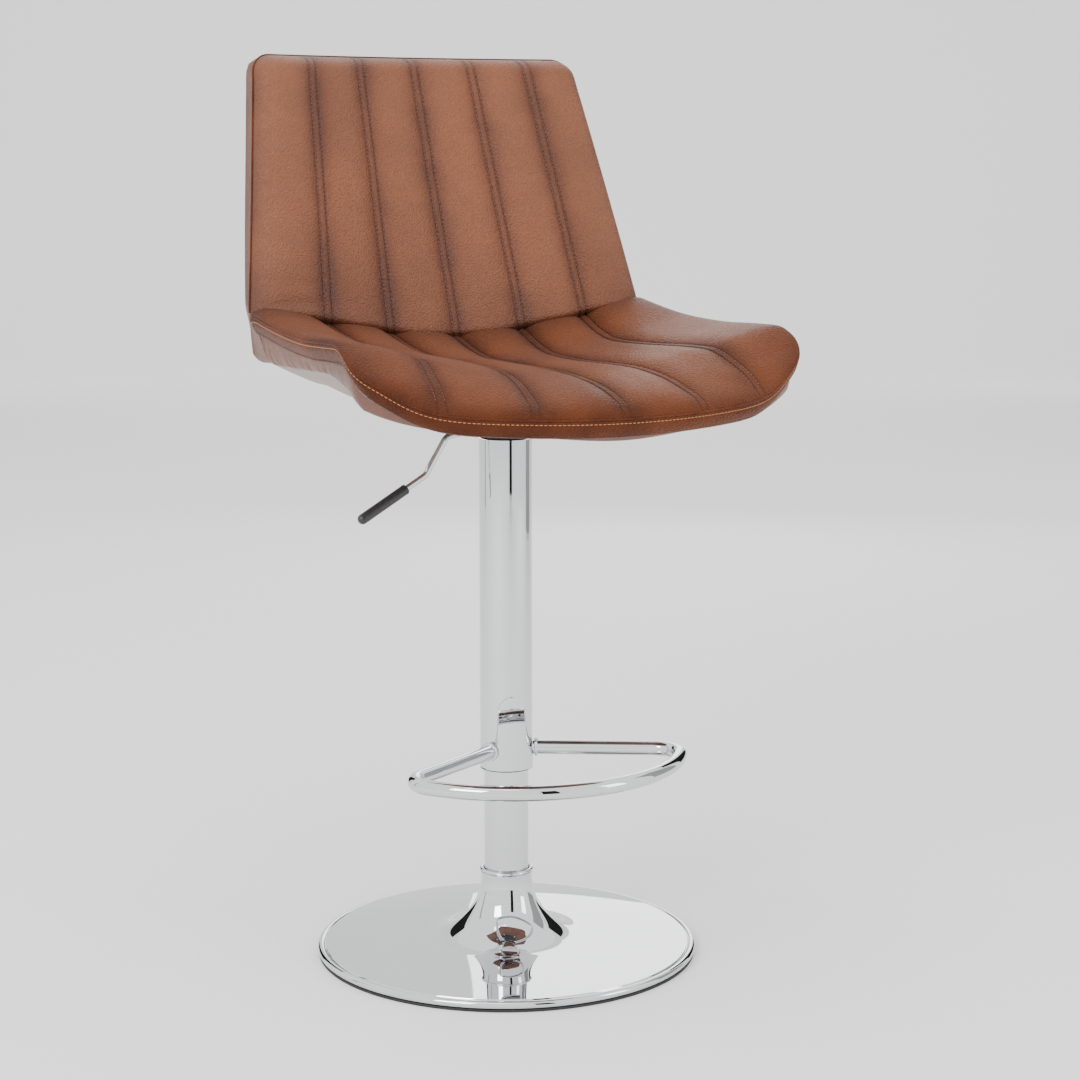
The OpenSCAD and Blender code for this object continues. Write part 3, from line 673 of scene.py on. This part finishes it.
def spread(seams, edge):
    """Every column's place across one row, from the row's five seams and its half width."""
    places = []
    for kind, k, share in columns:
        if kind == "seam":
            places.append(seams[k + 2] + share)
        elif kind == "between":
            a, b = seams[k + 2] + margin, seams[k + 3] - margin
            places.append(a + (b - a) * share)
        else:
            a = abs(seams[2 + 2 * k]) + margin
            places.append(k * (a + (edge - a) * share))
    return np.array(places)


def channel_lift(x, seams):
    """The strips and the swell of the filling, how near a stitch line each place is, and the swell alone."""
    gap = np.min(np.abs(x[:, None] - np.array(seams)[None, :]), axis=1)
    away = np.maximum(0, gap - strip_half)
    swell = 1 - (1 - np.clip(away / 27, 0, 1)) ** 2.6
    strip = 1.1 * (1 - np.clip(gap / strip_half, 0, 1) ** 2)
    on_stitches = np.exp(-((gap - strip_half) / 0.9) ** 2)
    # Nearness to the stitch lines, with a wider band over the seam: the leather turns it into dark stitch
    # lines and painted shade in the grooves.
    stitch_and_groove = np.clip(on_stitches + 0.22 * np.exp(-(gap / 9) ** 2), 0, 1)
    return np.where(gap < strip_half, strip, swell), stitch_and_groove, swell


def edge_loop(grid):
    """Once round the border of a grid."""
    return np.concatenate([grid[:, 0], grid[-1, 1:], grid[-2::-1, -1], grid[0, -2:0:-1]])


def grid_faces(index):
    """The four-sided faces between the rows and columns of a grid of numbered points."""
    rows, cols = index.shape
    return [(index[i, j], index[i, j + 1], index[i + 1, j + 1], index[i + 1, j])
            for i in range(rows - 1) for j in range(cols - 1)]


def panel_mesh(name, grid, rings, marks):
    """A grid of rows with rings round its edge, open in the middle of the last ring."""
    rows, cols = grid.shape[:2]
    index = np.arange(rows * cols).reshape(rows, cols)
    before = edge_loop(index)
    around = len(before)
    faces = grid_faces(index)
    points = [grid.reshape(-1, 3)]
    made = rows * cols
    for ring in rings:
        here = np.arange(made, made + around)
        made += around
        points.append(ring)
        faces += [(before[i], before[(i + 1) % around], here[(i + 1) % around], here[i])
                  for i in range(around)]
        before = here
    piece = meshed(name, [tuple(p) for p in np.concatenate(points) * MM], [tuple(map(int, f)) for f in faces])
    for label, values in marks.items():
        whole = np.zeros(made, np.float32)
        whole[:rows * cols] = values.reshape(-1)
        piece.data.attributes.new(label, "FLOAT", "POINT").data.foreach_set("value", whole)
    facing_out()
    return piece


def closed_smooth(piece):
    """Smooths the chosen panel once, then closes the opening in its underside."""
    smoother = piece.modifiers.new("smoother", "SUBSURF")
    smoother.levels = 1
    smoother.render_levels = 1
    bpy.ops.object.modifier_apply(modifier=smoother.name)
    bpy.ops.object.mode_set(mode="EDIT")
    bpy.ops.mesh.select_all(action="DESELECT")
    bpy.ops.mesh.select_non_manifold()
    bpy.ops.mesh.fill(use_beauty=False)
    bpy.ops.object.mode_set(mode="OBJECT")
    facing_out()
    bpy.ops.object.shade_smooth()


nose_mid = nose_turn / 2
corner_x = nose_x + nose_r * math.cos(nose_mid)
corner_y = nose_y + nose_r * math.sin(nose_mid)


def seat_front_line(x):
    """Front edge: one long arc, then half of each nose corner."""
    ahead = np.clip(np.abs(x) - nose_x, 0, nose_r)
    corner = nose_y - np.sqrt(nose_r ** 2 - ahead ** 2)
    tangent = plan_r * math.cos(nose_turn)
    return np.where(np.abs(x) < tangent, front_line(np.minimum(np.abs(x), tangent)), corner)


def seat_side_line(y):
    """Half width of the seat at y: straight side, then the other half of the nose corner."""
    ahead = np.clip(nose_y - y, 0, nose_r)
    return half_width(np.maximum(y, nose_y)) - nose_r + np.sqrt(nose_r ** 2 - ahead ** 2)


rise_from = -60
hump_from = 13
hump_h = 16


def seat_row(share):
    """Plan places of one row of the seat panel, share 0 at the rear and 1 at the front edge."""
    ends = [float(seat_seam(k, front_line(seat_seam(k, np.float64(-210.0))))) for k in range(-2, 3)]
    y_end = seat_front_line(spread(ends, corner_x))
    y_end[0] = y_end[-1] = corner_y
    y = rear_edge + share * (y_end - rear_edge)
    seams = [float(seat_seam(k, np.float64(rear_edge + share * (front_line(ends[k + 2]) - rear_edge))))
             for k in range(-2, 3)]
    edge = float(seat_side_line(np.float64(y[0])))
    return spread(seams, edge), y, y_end, seams, edge


def seat_surface(share):
    """One row of the seat's top: its points, its seam marks and its lift marks."""
    x, y, y_end, seams, edge = seat_row(share)
    fx = np.clip(np.abs(x) / edge, 0, 1)
    fy = np.clip((rise_from - y) / (rise_from - y_end), 0, 1)
    roll = np.sqrt(np.maximum(0, 1 - fx ** 3.4)) * np.sqrt(np.maximum(0, 1 - fy ** 3))
    q = (x / seat_half) ** 2
    hump = (hump_h * (1 - 0.8 * np.minimum(1, q))
            * np.clip((y - hump_from) / (crease_y - hump_from), 0, 1) ** 2)
    swell = 3.4 + 3.0 * ease((y - 10) / 80)
    lift, stitched, lifted = channel_lift(x, seams)
    # The strip is nipped along its middle, where the seam itself runs
    strip = np.where(lift > 1.0, 0, lift)
    pinch = 0.9 + 0.3 * ease((y + 100) / 120)
    fade = np.clip(roll * 1.6, 0, 1) * (1 - ease((y - crease_y - 2) / 14))
    surface = swell * lifted + np.where(lifted <= 0, strip, 0) - pinch * stitched
    z = welt_height(x, y) + crown * (1 - 0.3 * q) * roll + hump - 2.6 * fade + fade * surface
    # Painted shade: the seam mark darkens the grooves along the stitch lines and grows towards the crease at
    # the bend.
    crease_shade = 0.55 * ease((y - 55) / 55)
    seam_and_shade_mark = np.clip(stitched + crease_shade, 0, 1) * np.clip(fade + 0.3, 0, 1)
    # The lift mark, lighter in the leather, is wear and a painted highlight on the swells.
    return np.stack([x, y, z], axis=1), seam_and_shade_mark, lifted * fade


def surface_rows(surface, shares):
    """Every row of a panel as one grid, with the marks that its leather reads."""
    built = [surface(share) for share in shares]
    return (np.array([row[0] for row in built]),
            {"seam": np.array([row[1] for row in built]), "lift": np.array([row[2] for row in built])})


def closing_in(start, steps):
    """Shares from start to 1, closer and closer together where the edge rolls over."""
    return [start + (1 - start) * (1 - (1 - s) ** 1.9) for s in np.linspace(0, 1, steps)]


def drawn_in(outline, distance):
    """An outline round the seat drawn in towards its middle, in plan."""
    way = outline[:, :2] - seat_mid
    length = np.linalg.norm(way, axis=1)
    moved = outline.copy()
    moved[:, :2] = seat_mid + way * (1 - distance / length)[:, None]
    return moved


roll_from = 0.80
row_shares = list(np.linspace(0, roll_from, 52, endpoint=False)) + closing_in(roll_from, 16)
seat_grid, seat_marks = surface_rows(seat_surface, row_shares)
seat_mid = np.array([0.0, -40.0])
seat_edge = edge_loop(seat_grid)
seat_edge[:, 2] = welt_height(seat_edge[:, 0], seat_edge[:, 1])
# The boxing band, as how far below the welt each ring lies and how far in
band = [(0.7, 1.2), (1.8, 0.2), (3.6, 0.3), (4.8, 1.1), (6.0, 0.7), (9.0, 1.4), (12.5, 3.4), (15.5, 5.6),
        (17.6, 8.6), (18.0, 12.0)]
seat_rings = []
for drop, inset in band:
    ring = drawn_in(seat_edge, inset)
    ring[:, 2] = seat_edge[:, 2] - drop
    seat_rings.append(ring)
over_shell = 2.2
shelf = drawn_in(seat_edge, 15.0)
inner = shelf.copy()
inner[:, :2] = seat_mid + (shelf[:, :2] - seat_mid) * 0.7
for ring in (shelf, inner):
    ring[:, 2] = shell_height(ring[:, 0], ring[:, 1]) + over_shell
    seat_rings.append(ring)
seat = panel_mesh("seat_pad", seat_grid, seat_rings, seat_marks)
closed_smooth(seat)
finish_piece(seat, "seat_pad", shaded_leather, "lift", "brown_leather", "seat_cushion")

# ---- Back cushion ----
# The same channelled panel over foam, leaning back and dished across, sewn to the outer cover
# round its sides and top and tucked down behind the seat.
# A lighter copy of the seat's leather: its difference from the seat is painted light.
lit_leather = leather("lit_leather", (0.080, 0.021, 0.008), (0.168, 0.050, 0.018), (0.265, 0.092, 0.038),
                       0.0007, 0.40, 0.32)
back_top = (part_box("back_cushion")[1] / MM).z
back_half = 182.0
shoulder_r = 22.0
shoulder_z = back_top - shoulder_r
join_z = deck + 72
foot_y = bend_y + bend_r * math.sin(bend_a)
back_foot_z = bend_z - bend_r * math.cos(bend_a)
over_back = 3.5
seams_from_z = 620.0
top_x = back_half - shoulder_r + shoulder_r * math.sin(math.pi / 4)
top_z = shoulder_z + shoulder_r * math.sin(math.pi / 4)


def back_width(z):
    """Half the back's width at z, which narrows upwards from where it joins the seat."""
    return back_half + (seat_half - back_half) * (shoulder_z - z) / (shoulder_z - join_z)


def back_plane(x, z):
    """The shell's front face behind the back cushion: leaning, and dished across."""
    k = 0.0003 + 0.0005 * np.clip((z - join_z - 8) / (back_top - join_z - 28), 0, 1)
    return foot_y + (z - back_foot_z) * math.tan(lean) - k * x * x / math.cos(lean)


def back_seam(k, z):
    """Place across the back of seam k, from -2 to 2."""
    if k == 0:
        return 0 * z
    reach = 74 - 0.0425 * (z - 625) if abs(k) == 1 else 142 - 0.083 * (z - 642)
    return math.copysign(1, k) * reach


def back_side_line(z):
    """Half width of the back at z: straight side, then the shoulder's corner."""
    ahead = np.clip(z - shoulder_z, 0, shoulder_r)
    corner = back_half - shoulder_r + np.sqrt(shoulder_r ** 2 - ahead ** 2)
    return np.where(z > shoulder_z, corner, back_width(z))


def back_top_line(x):
    """Height of the back's top edge at x."""
    ahead = np.clip(np.abs(x) - back_half + shoulder_r, 0, shoulder_r)
    return shoulder_z + np.sqrt(shoulder_r ** 2 - ahead ** 2)


def back_bottom_line(x):
    """Height at which the back's front face meets the seat."""
    return 619 + 10 * np.minimum(1, (x / 95) ** 2) + 17 * ease((np.abs(x) - 80) / 130)


def back_surface(share):
    """One row of the back's face: its points, its seam marks and its lift marks."""
    ends = [float(back_seam(k, np.float64(back_top))) for k in range(-2, 3)]
    z_end = back_top_line(spread(ends, top_x))
    z_end[0] = z_end[-1] = top_z
    starts = [float(back_seam(k, np.float64(seams_from_z))) for k in range(-2, 3)]
    z_start = back_bottom_line(spread(starts, float(back_width(650)))) - 9
    z = z_start + share * (z_end - z_start)
    seams = [float(back_seam(k, np.float64(seams_from_z + share * (back_top - seams_from_z))))
             for k in range(-2, 3)]
    edge = float(back_side_line(np.float64(z[0])))
    x = spread(seams, edge)
    fx = np.clip(np.abs(x) / edge, 0, 1)
    top_fall = np.clip((z - (z_end - 12)) / 12, 0, 1)
    low_fall = np.clip((z_start + 14 - z) / 14, 0, 1)
    roll = np.sqrt(np.maximum(0, 1 - fx ** 6)) * np.sqrt(np.maximum(0, 1 - top_fall ** 2))
    thick = 28 + 9 * (np.minimum(np.abs(x), 127) / 127) ** 2
    lift, stitched, lifted = channel_lift(x, seams)
    strip = np.where(lifted <= 0, lift, 0)
    fade = np.clip(roll * 1.5, 0, 1)
    surface = 3.6 * lifted + strip - 1.0 * stitched
    # Slack creases low in the two outer channels
    pull = (1.5 * np.exp(-((z - 664 - 0.05 * x) / 3.2) ** 2)
            + 1.1 * np.exp(-((z - 677 + 0.10 * (x + 200)) / 3.0) ** 2)
            + 0.7 * np.exp(-((z - 652) / 2.6) ** 2)) * ease((-x - 138) / 25)
    mild = 0.8 * np.exp(-((z - 668 + 0.08 * x) / 3.4) ** 2) * ease((x - 150) / 25)
    depth = (thick - 3) * roll - 2.4 * fade + fade * (surface - pull - mild)
    depth = depth * (1 - 0.85 * low_fall ** 2.2)
    y = back_plane(x, z) - over_back - depth
    # Painted shade: the seam mark darkens the grooves along the stitch lines and the foot of the back, where
    # it meets the seat.
    crease_shade = 0.5 * np.exp(-np.maximum(0, z - z_start - 8) / 22)
    seam_and_shade_mark = np.clip(stitched + crease_shade, 0, 1) * np.clip(fade + 0.3, 0, 1)
    # The lift mark, lighter in the leather, is wear and a painted highlight on the swells.
    return np.stack([x, y, z], axis=1), seam_and_shade_mark, lifted * fade


tuck_to = 0.06
top_from = 0.90
back_shares = (list(np.linspace(0, tuck_to, 5, endpoint=False))
               + list(np.linspace(tuck_to, top_from, 44, endpoint=False)) + closing_in(top_from, 12))
back_grid, back_marks = surface_rows(back_surface, back_shares)
back_edge = edge_loop(back_grid)
back_mid = np.array([0.0, deck + 190])
back_rings = []
for inset, behind in ((0.8, 1.0), (2.0, 2.0), (8.0, 2.8)):
    way = back_edge[:, [0, 2]] - back_mid
    moved = back_mid + way * (1 - inset / np.linalg.norm(way, axis=1))[:, None]
    ring_y = back_plane(moved[:, 0], moved[:, 1]) - over_back + behind
    back_rings.append(np.stack([moved[:, 0], ring_y, moved[:, 1]], axis=1))
moved = back_mid + (back_edge[:, [0, 2]] - back_mid) * 0.7
back_rings.append(np.stack([moved[:, 0], back_plane(moved[:, 0], moved[:, 1]) - 0.6, moved[:, 1]], axis=1))
back = panel_mesh("back_pad", back_grid, back_rings, back_marks)
closed_smooth(back)
finish_piece(back, "back_pad", lit_leather, "lift", "brown_leather", "back_cushion")

# ---- Outer cover ----
# One leather skin over the back of the bent shell: sewn to the seat's boxing and to the back
# panel's edge, smooth underneath, and gathered where it is drawn in below the seat's sides.
cover_leather = leather("cover_leather", (0.090, 0.026, 0.012), (0.150, 0.050, 0.022), (0.20, 0.065, 0.026),
                        0.0002, 0.30, 0.75)
shell_t = 12.0
cover_t = 12.0
tuck = 9.0
plate_half = 85.0
sewn_in = 8.2
sewn_drop = 17.0
sewn_behind = 3.0
seat_seam_end = rear_edge - 16
back_seam_start = 655.0


def sewn_outline(x, y):
    """The line under the boxing where the skin is sewn to the seat."""
    outline = drawn_in(np.stack([x, y, welt_height(x, y)], axis=-1), sewn_in)
    outline[:, 2] -= sewn_drop
    return outline


def skin_point(u, t):
    """Outer surface over the shell: u runs 0..1 under the seat, 1..2 round the bend, 2..3 up the back."""
    low = np.clip(u, 0, 1)
    skin_in = (10.0 + 7.0 * (1 - ease(low / 0.3)) - 5.0 * np.clip(u - 1, 0, 1)
               + 6.0 * np.exp(-((u - 1.95) / 0.3) ** 2))
    x1 = t * (half_width(nose_y + low * (bend_y - nose_y)) - skin_in)
    y0 = front_line(x1) + 11 + 5 * ease(np.abs(x1) / 150)
    y1 = y0 + low * (bend_y - y0)
    flat = 1 - 1.42 * np.maximum(0, 1 - (plate_half / np.maximum(1, np.abs(x1))) ** 2)
    drop = np.maximum(shell_t + 5, shell_t + cover_t + rise(x1, y1) * flat)
    drop = np.maximum(drop, 25.5 * ease((np.abs(x1) - 110) / 60))
    near_front = 1 - ease((y1 - y0) / 90)
    drop = drop - near_front * np.maximum(0, drop - shell_t - 0.8) * ease(np.abs(x1) / 150)
    seat_part = np.stack([x1, y1, deck + rise(x1, y1) - drop], axis=-1)
    turn = np.clip(u - 1, 0, 1)
    a = bend_a * turn
    x2 = t * (half_width(bend_y) - skin_in - tuck * np.sin(math.pi * turn))
    k = dish_k + (0.0003 - dish_k) * ease((a - bend_a / 2) / (bend_a / 2))
    outward = drop * (1 - turn) + (shell_t + cover_t) * turn
    r = bend_r + outward - k * x2 * x2
    bend_part = np.stack([x2, bend_y + r * np.sin(a), bend_z - r * np.cos(a)], axis=-1)
    z3 = back_foot_z + np.clip(u - 2, 0, 1) * (back_top - 12 - back_foot_z)
    x3 = t * (back_width(np.maximum(z3, join_z)) - skin_in - 3 * ease((z3 - shoulder_z) / shoulder_r))
    y3 = back_plane(x3, z3) + (shell_t + cover_t) / math.cos(lean)
    back_part = np.stack([x3, y3, z3], axis=-1)
    u = u[..., None]
    return np.where(u <= 1, seat_part, np.where(u <= 2, bend_part, back_part))


seat_end_y = np.array([seat_seam_end])
seam_end = sewn_outline(half_width(seat_end_y), seat_end_y)[0]


def skin_edge(u, side):
    """Where the skin is sewn on: under the boxing, then up the back panel's edge."""
    low = np.clip(u, 0, 1)
    y1 = corner_y + low * (seat_seam_end - corner_y)
    seat_part = sewn_outline(side * seat_side_line(y1), y1)
    z3 = np.maximum(back_foot_z + np.clip(u - 2, 0, 1) * (top_z - back_foot_z), back_seam_start)
    x3 = back_side_line(z3)
    back_part = np.stack([side * (x3 - 0.2), back_plane(x3, z3) - sewn_behind, z3], axis=-1)
    last_u = 2 + (back_seam_start - back_foot_z) / (top_z - back_foot_z)
    s = np.clip((u - 1) / (last_u - 1), 0, 1)[:, None]
    seat_end = seam_end * np.array([side, 1, 1])
    back_end = np.array([side * (float(back_side_line(np.float64(back_seam_start))) - 0.2),
                         back_plane(seat_half, back_seam_start) - sewn_behind, back_seam_start])
    turn = np.array([back_end[0] - side * 1.5, back_end[1] + 1, seat_end[2] + 5])
    bend_part = seat_end * (1 - s) ** 2 + 2 * turn * s * (1 - s) + back_end * s * s
    u = u[:, None]
    return np.where(u <= 1, seat_part, np.where(u <= last_u, bend_part, back_part))


skin_u = np.concatenate([np.linspace(0, 1, 56, endpoint=False), np.linspace(1, 2, 26, endpoint=False),
                         np.linspace(2, 3, 40)])
skin_t = np.linspace(-1, 1, 71)
skin_grid = skin_point(*np.meshgrid(skin_u, skin_t, indexing="ij"))
front_x = skin_t * corner_x
front_sewn = sewn_outline(front_x, seat_front_line(front_x))
top_line_x = skin_t * top_x
top_line_z = back_top_line(top_line_x)
top_sewn = np.stack([top_line_x, back_plane(top_line_x, top_line_z) - sewn_behind, top_line_z - 0.2], axis=-1)
left_sewn = skin_edge(skin_u, -1)
right_sewn = skin_edge(skin_u, 1)
sewn = np.concatenate([left_sewn, top_sewn[1:-1], right_sewn[::-1], front_sewn[-2:0:-1]])
skirt = edge_loop(skin_grid)
loop_u = np.concatenate([skin_u, np.full(len(skin_t) - 2, 3.0), skin_u[::-1], np.zeros(len(skin_t) - 2)])
upright = np.clip(loop_u - 1, 0, 1)[:, None]
knee = np.concatenate([sewn[:, :1], sewn[:, 1:2] * (1 - upright) + skirt[:, 1:2] * upright,
                       skirt[:, 2:] * (1 - upright) + sewn[:, 2:] * upright], axis=1)
rounding = 0.45 * np.exp(-((loop_u - 1.8) / 0.55) ** 2)[:, None]
knee = knee * (1 - rounding) + (sewn + skirt) / 2 * rounding
loop_step = np.linalg.norm(np.roll(sewn, -1, axis=0) - sewn, axis=1)
loop_run = np.concatenate([[0], np.cumsum(loop_step)[:-1]])
gathered = ease(loop_u / 0.35) * (1 - ease((loop_u - 1.0) / 0.5))
pucker = (np.sin(loop_run / 2.1 + 1.6 * np.sin(loop_run / 9.0)) + 0.6 * np.sin(loop_run / 3.9 + 1)) * gathered


def wrapped(share):
    """A line round the skin's edge, from its skirt at share 0 to where it is sewn at share 1."""
    return skirt * (1 - share) ** 2 + 2 * knee * share * (1 - share) + sewn * share ** 2


def thickened(piece, thickness, offset):
    """Gives the chosen leather sheet its thickness."""
    thicken = piece.modifiers.new("thicken", "SOLIDIFY")
    thicken.thickness = thickness * MM
    thicken.offset = offset
    bpy.ops.object.modifier_apply(modifier=thicken.name)


skin_rings = []
for share in np.linspace(0, 1, 15)[1:]:
    ring = wrapped(share)
    ring[:, 0] += np.sign(ring[:, 0]) * 0.75 * pucker * math.sin(math.pi * share) ** 0.7
    ring[:, 2] += 0.3 * pucker * math.sin(math.pi * share)
    skin_rings.append(ring)
plain = 0 * skin_grid[:, :, 0]
skin = panel_mesh("outer_skin", skin_grid, skin_rings, {"seam": plain, "lift": plain})
thickened(skin, 1.6, -1)
bpy.ops.object.shade_smooth()
finish_piece(skin, "outer_skin", cover_leather, "lift", "brown_leather", "underside_cover", "back_cover")

# ---- Gathered hem ----
# The turned-over edge of the seat's leather, drawn into small gathers below each side: it ends in
# an uneven line on the smooth skin.
hem_rows = 14
hem_front = 0.30
hem_rear = 1.55


def hem_side(side):
    """The hem's grid on one side of the seat, laid on the skin and a little proud of it."""
    order = np.nonzero((np.sign(sewn[:, 0]) == side) & (loop_u > hem_front) & (loop_u < hem_rear))[0]
    rows_u = loop_u[order]
    deep = [wrapped(1 - s)[order] for s in np.linspace(0, 1, 9)]
    for c in [3, 6, 9] if side < 0 else [-4, -7, -10]:
        deep.append(np.stack([np.interp(rows_u, skin_u, skin_grid[:, c, axis]) for axis in range(3)], axis=1))
    deep = np.array(deep)
    run = loop_run[order] * side
    shape = ease((rows_u - hem_front) / 0.35) * (1 - 0.55 * ease((rows_u - 1.2) / 0.3))
    length = 3 + (12 + 2.0 * np.sin(run / 6.5) + 1.6 * np.sin(run / 2.9 + 2) + 2.5 * np.sin(run / 21)) * shape
    hem_lines = []
    for i in range(len(order)):
        line = deep[:, i]
        steps = np.concatenate([[0], np.cumsum(np.linalg.norm(np.diff(line, axis=0), axis=1))])
        at = np.linspace(0, length[i], hem_rows)
        point = np.stack([np.interp(at, steps, line[:, axis]) for axis in range(3)], axis=1)
        way = np.diff(point, axis=0, append=point[-1:] + (point[-1:] - point[-2:-1]))
        way /= np.linalg.norm(way, axis=1)[:, None]
        climb = bend_a * max(0.0, rows_u[i] - 1)
        across = np.array([0.0, math.cos(climb), math.sin(climb)])
        normal = np.cross(across, way) * side
        normal /= np.linalg.norm(normal, axis=1)[:, None]
        ripple = 0.8 * math.sin(run[i] / 2.2 + 1.4 * math.sin(run[i] / 8.0)) * np.linspace(0.3, 1, hem_rows)
        puff = 1.5 + 0.8 * np.sin(np.linspace(0, math.pi, hem_rows))
        hem_lines.append(point + normal * (puff + ripple)[:, None])
    return np.array(hem_lines)


for side, label in ((-1, "right"), (1, "left")):
    hem_grid = hem_side(side)
    hem_faces = grid_faces(np.arange(hem_grid.shape[0] * hem_rows).reshape(-1, hem_rows))
    hem_points = [tuple(p) for p in hem_grid.reshape(-1, 3) * MM]
    hem = meshed("hem", hem_points, [tuple(map(int, f)) for f in hem_faces])
    thickened(hem, 1.2, 0)
    facing_out()
    bpy.ops.object.shade_smooth()
    finish_piece(hem, "gathered_hem_" + label, shaded_leather, "lift", "brown_leather")

# ---- Welts ----
# A thin cord covered in the seat's leather, caught in the seam round the seat and round the back:
# it is sewn in between the panel and the boxing, or between the panel and the outer cover.
welt_loop = drawn_in(seat_edge, 0.2)
welt_loop[:, 2] -= 0.4
seat_welt_line = [tuple(p) for p in welt_loop[int(len(seat_grid) * 0.02):-len(columns) + 1]]
seat_welt = tube_along(seat_welt_line, 0.9, 12)
finish_piece(seat_welt, "seat_welt", shaded_leather, "lift", "brown_leather")
shown = back_edge[:, 2] > 646
first_shown = int(np.argmax(shown))
last_shown = first_shown + int(shown.sum())
back_welt_line = [tuple(p + np.array([0, -0.6, 0])) for p in back_edge[first_shown:last_shown]]
back_welt = tube_along(back_welt_line, 1.25, 12)
finish_piece(back_welt, "back_welt", shaded_leather, "lift", "brown_leather")

# ---- Stitches ----
# Twisted thread: two rows hold down each channel seam, and one lighter row runs along the boxing.
# Each stitch lies on the leather and dips into it at both ends.
thread = coated("brown_thread", (0.12, 0.032, 0.012), (0.26, 0.085, 0.034), 0.55, 2600.0, 0.0001)
light_thread = coated("light_thread", (0.34, 0.13, 0.05), (0.52, 0.24, 0.11), 0.5, 2600.0, 0.0001)
stitch_long = 3.3
stitch_gap = 1.0
stitch_r = 0.36
stitch_sides = 6


def stitch_row(line, normals, sink):
    """Points and faces of a row of stitches laid along a line on the leather."""
    steps = np.concatenate([[0], np.cumsum(np.linalg.norm(np.diff(line, axis=0), axis=1))])

    def read(values, reach):
        return np.array([np.interp(reach, steps, values[:, axis]) for axis in range(3)])

    points, faces = [], []
    at = 1.0
    while at + stitch_long < steps[-1]:
        stops = [at + stitch_long * share for share in (0, 0.15, 0.5, 0.85, 1)]
        heights = [-stitch_r * 1.3, -sink, stitch_r * 0.45 - sink, -sink, -stitch_r * 1.3]
        sizes = [0.45, 0.9, 1.0, 0.9, 0.45]
        first = len(points)
        for stop, up, size in zip(stops, heights, sizes):
            spot = read(line, stop)
            ahead = read(line, stop + 0.5) - read(line, stop - 0.5)
            ahead /= np.linalg.norm(ahead)
            up_way = read(normals, stop)
            up_way /= np.linalg.norm(up_way)
            across = np.cross(ahead, up_way)
            across /= np.linalg.norm(across)
            for turn in range(stitch_sides):
                a = 2 * math.pi / stitch_sides * turn
                points.append(spot + up_way * (up + stitch_r * size * math.sin(a))
                              + across * stitch_r * size * 1.15 * math.cos(a))
        for ring in range(len(stops) - 1):
            for turn in range(stitch_sides):
                a = first + stitch_sides * ring + turn
                b = first + stitch_sides * ring + (turn + 1) % stitch_sides
                faces.append((a, b, b + stitch_sides, a + stitch_sides))
        last = first + stitch_sides * (len(stops) - 1)
        faces.append(tuple(first + turn for turn in range(stitch_sides - 1, -1, -1)))
        faces.append(tuple(last + turn for turn in range(stitch_sides)))
        at += stitch_long + stitch_gap
    return points, faces


def laid_stitches(name, rows, material):
    """One piece of every stitch in its rows, each a line, its normals and how deep it is drawn in."""
    points, faces = [], []
    for line, normals, sink in rows:
        more, rings = stitch_row(line, normals, sink)
        faces += [tuple(i + len(points) for i in ring) for ring in rings]
        points += more
    piece = meshed(name, [tuple(p * MM) for p in points], faces)
    facing_out()
    bpy.ops.object.shade_smooth()
    finish_piece(piece, name, material, "lift", "brown_leather")


def grid_normals(grid, outward):
    """The leather's normal at each point of a panel's grid, on the side that faces outward."""
    across = np.gradient(grid, axis=1)
    along = np.gradient(grid, axis=0)
    normal = np.cross(across, along)
    normal /= np.linalg.norm(normal, axis=2)[:, :, None] + 1e-9
    return normal * np.sign(normal @ outward)[:, :, None]


seam_columns = [i for i, (kind, k, share) in enumerate(columns)
                if kind == "seam" and abs(share) == strip_half]
seat_normals = grid_normals(seat_grid, np.array([0, -0.2, 1.0]))
back_normals = grid_normals(back_grid, np.array([0, -1.0, 0.3]))
thread_sink = 0.1
seat_lines = [(seat_grid[5:-5, c], seat_normals[5:-5, c], thread_sink) for c in seam_columns]
back_lines = [(back_grid[3:-4, c], back_normals[3:-4, c], thread_sink) for c in seam_columns]
laid_stitches("seat_stitches", seat_lines, thread)
laid_stitches("back_stitches", back_lines, thread)
boxing_line = drawn_in(seat_edge, 0.5)
boxing_line[:, 2] = seat_edge[:, 2] - 4.4
boxing_line = boxing_line[:-len(columns) + 1]
outward = boxing_line - np.array([seat_mid[0], seat_mid[1], 0])
outward[:, 2] = 0
outward /= np.linalg.norm(outward, axis=1)[:, None]
laid_stitches("boxing_stitches", [(boxing_line, outward, 0.0)], light_thread)
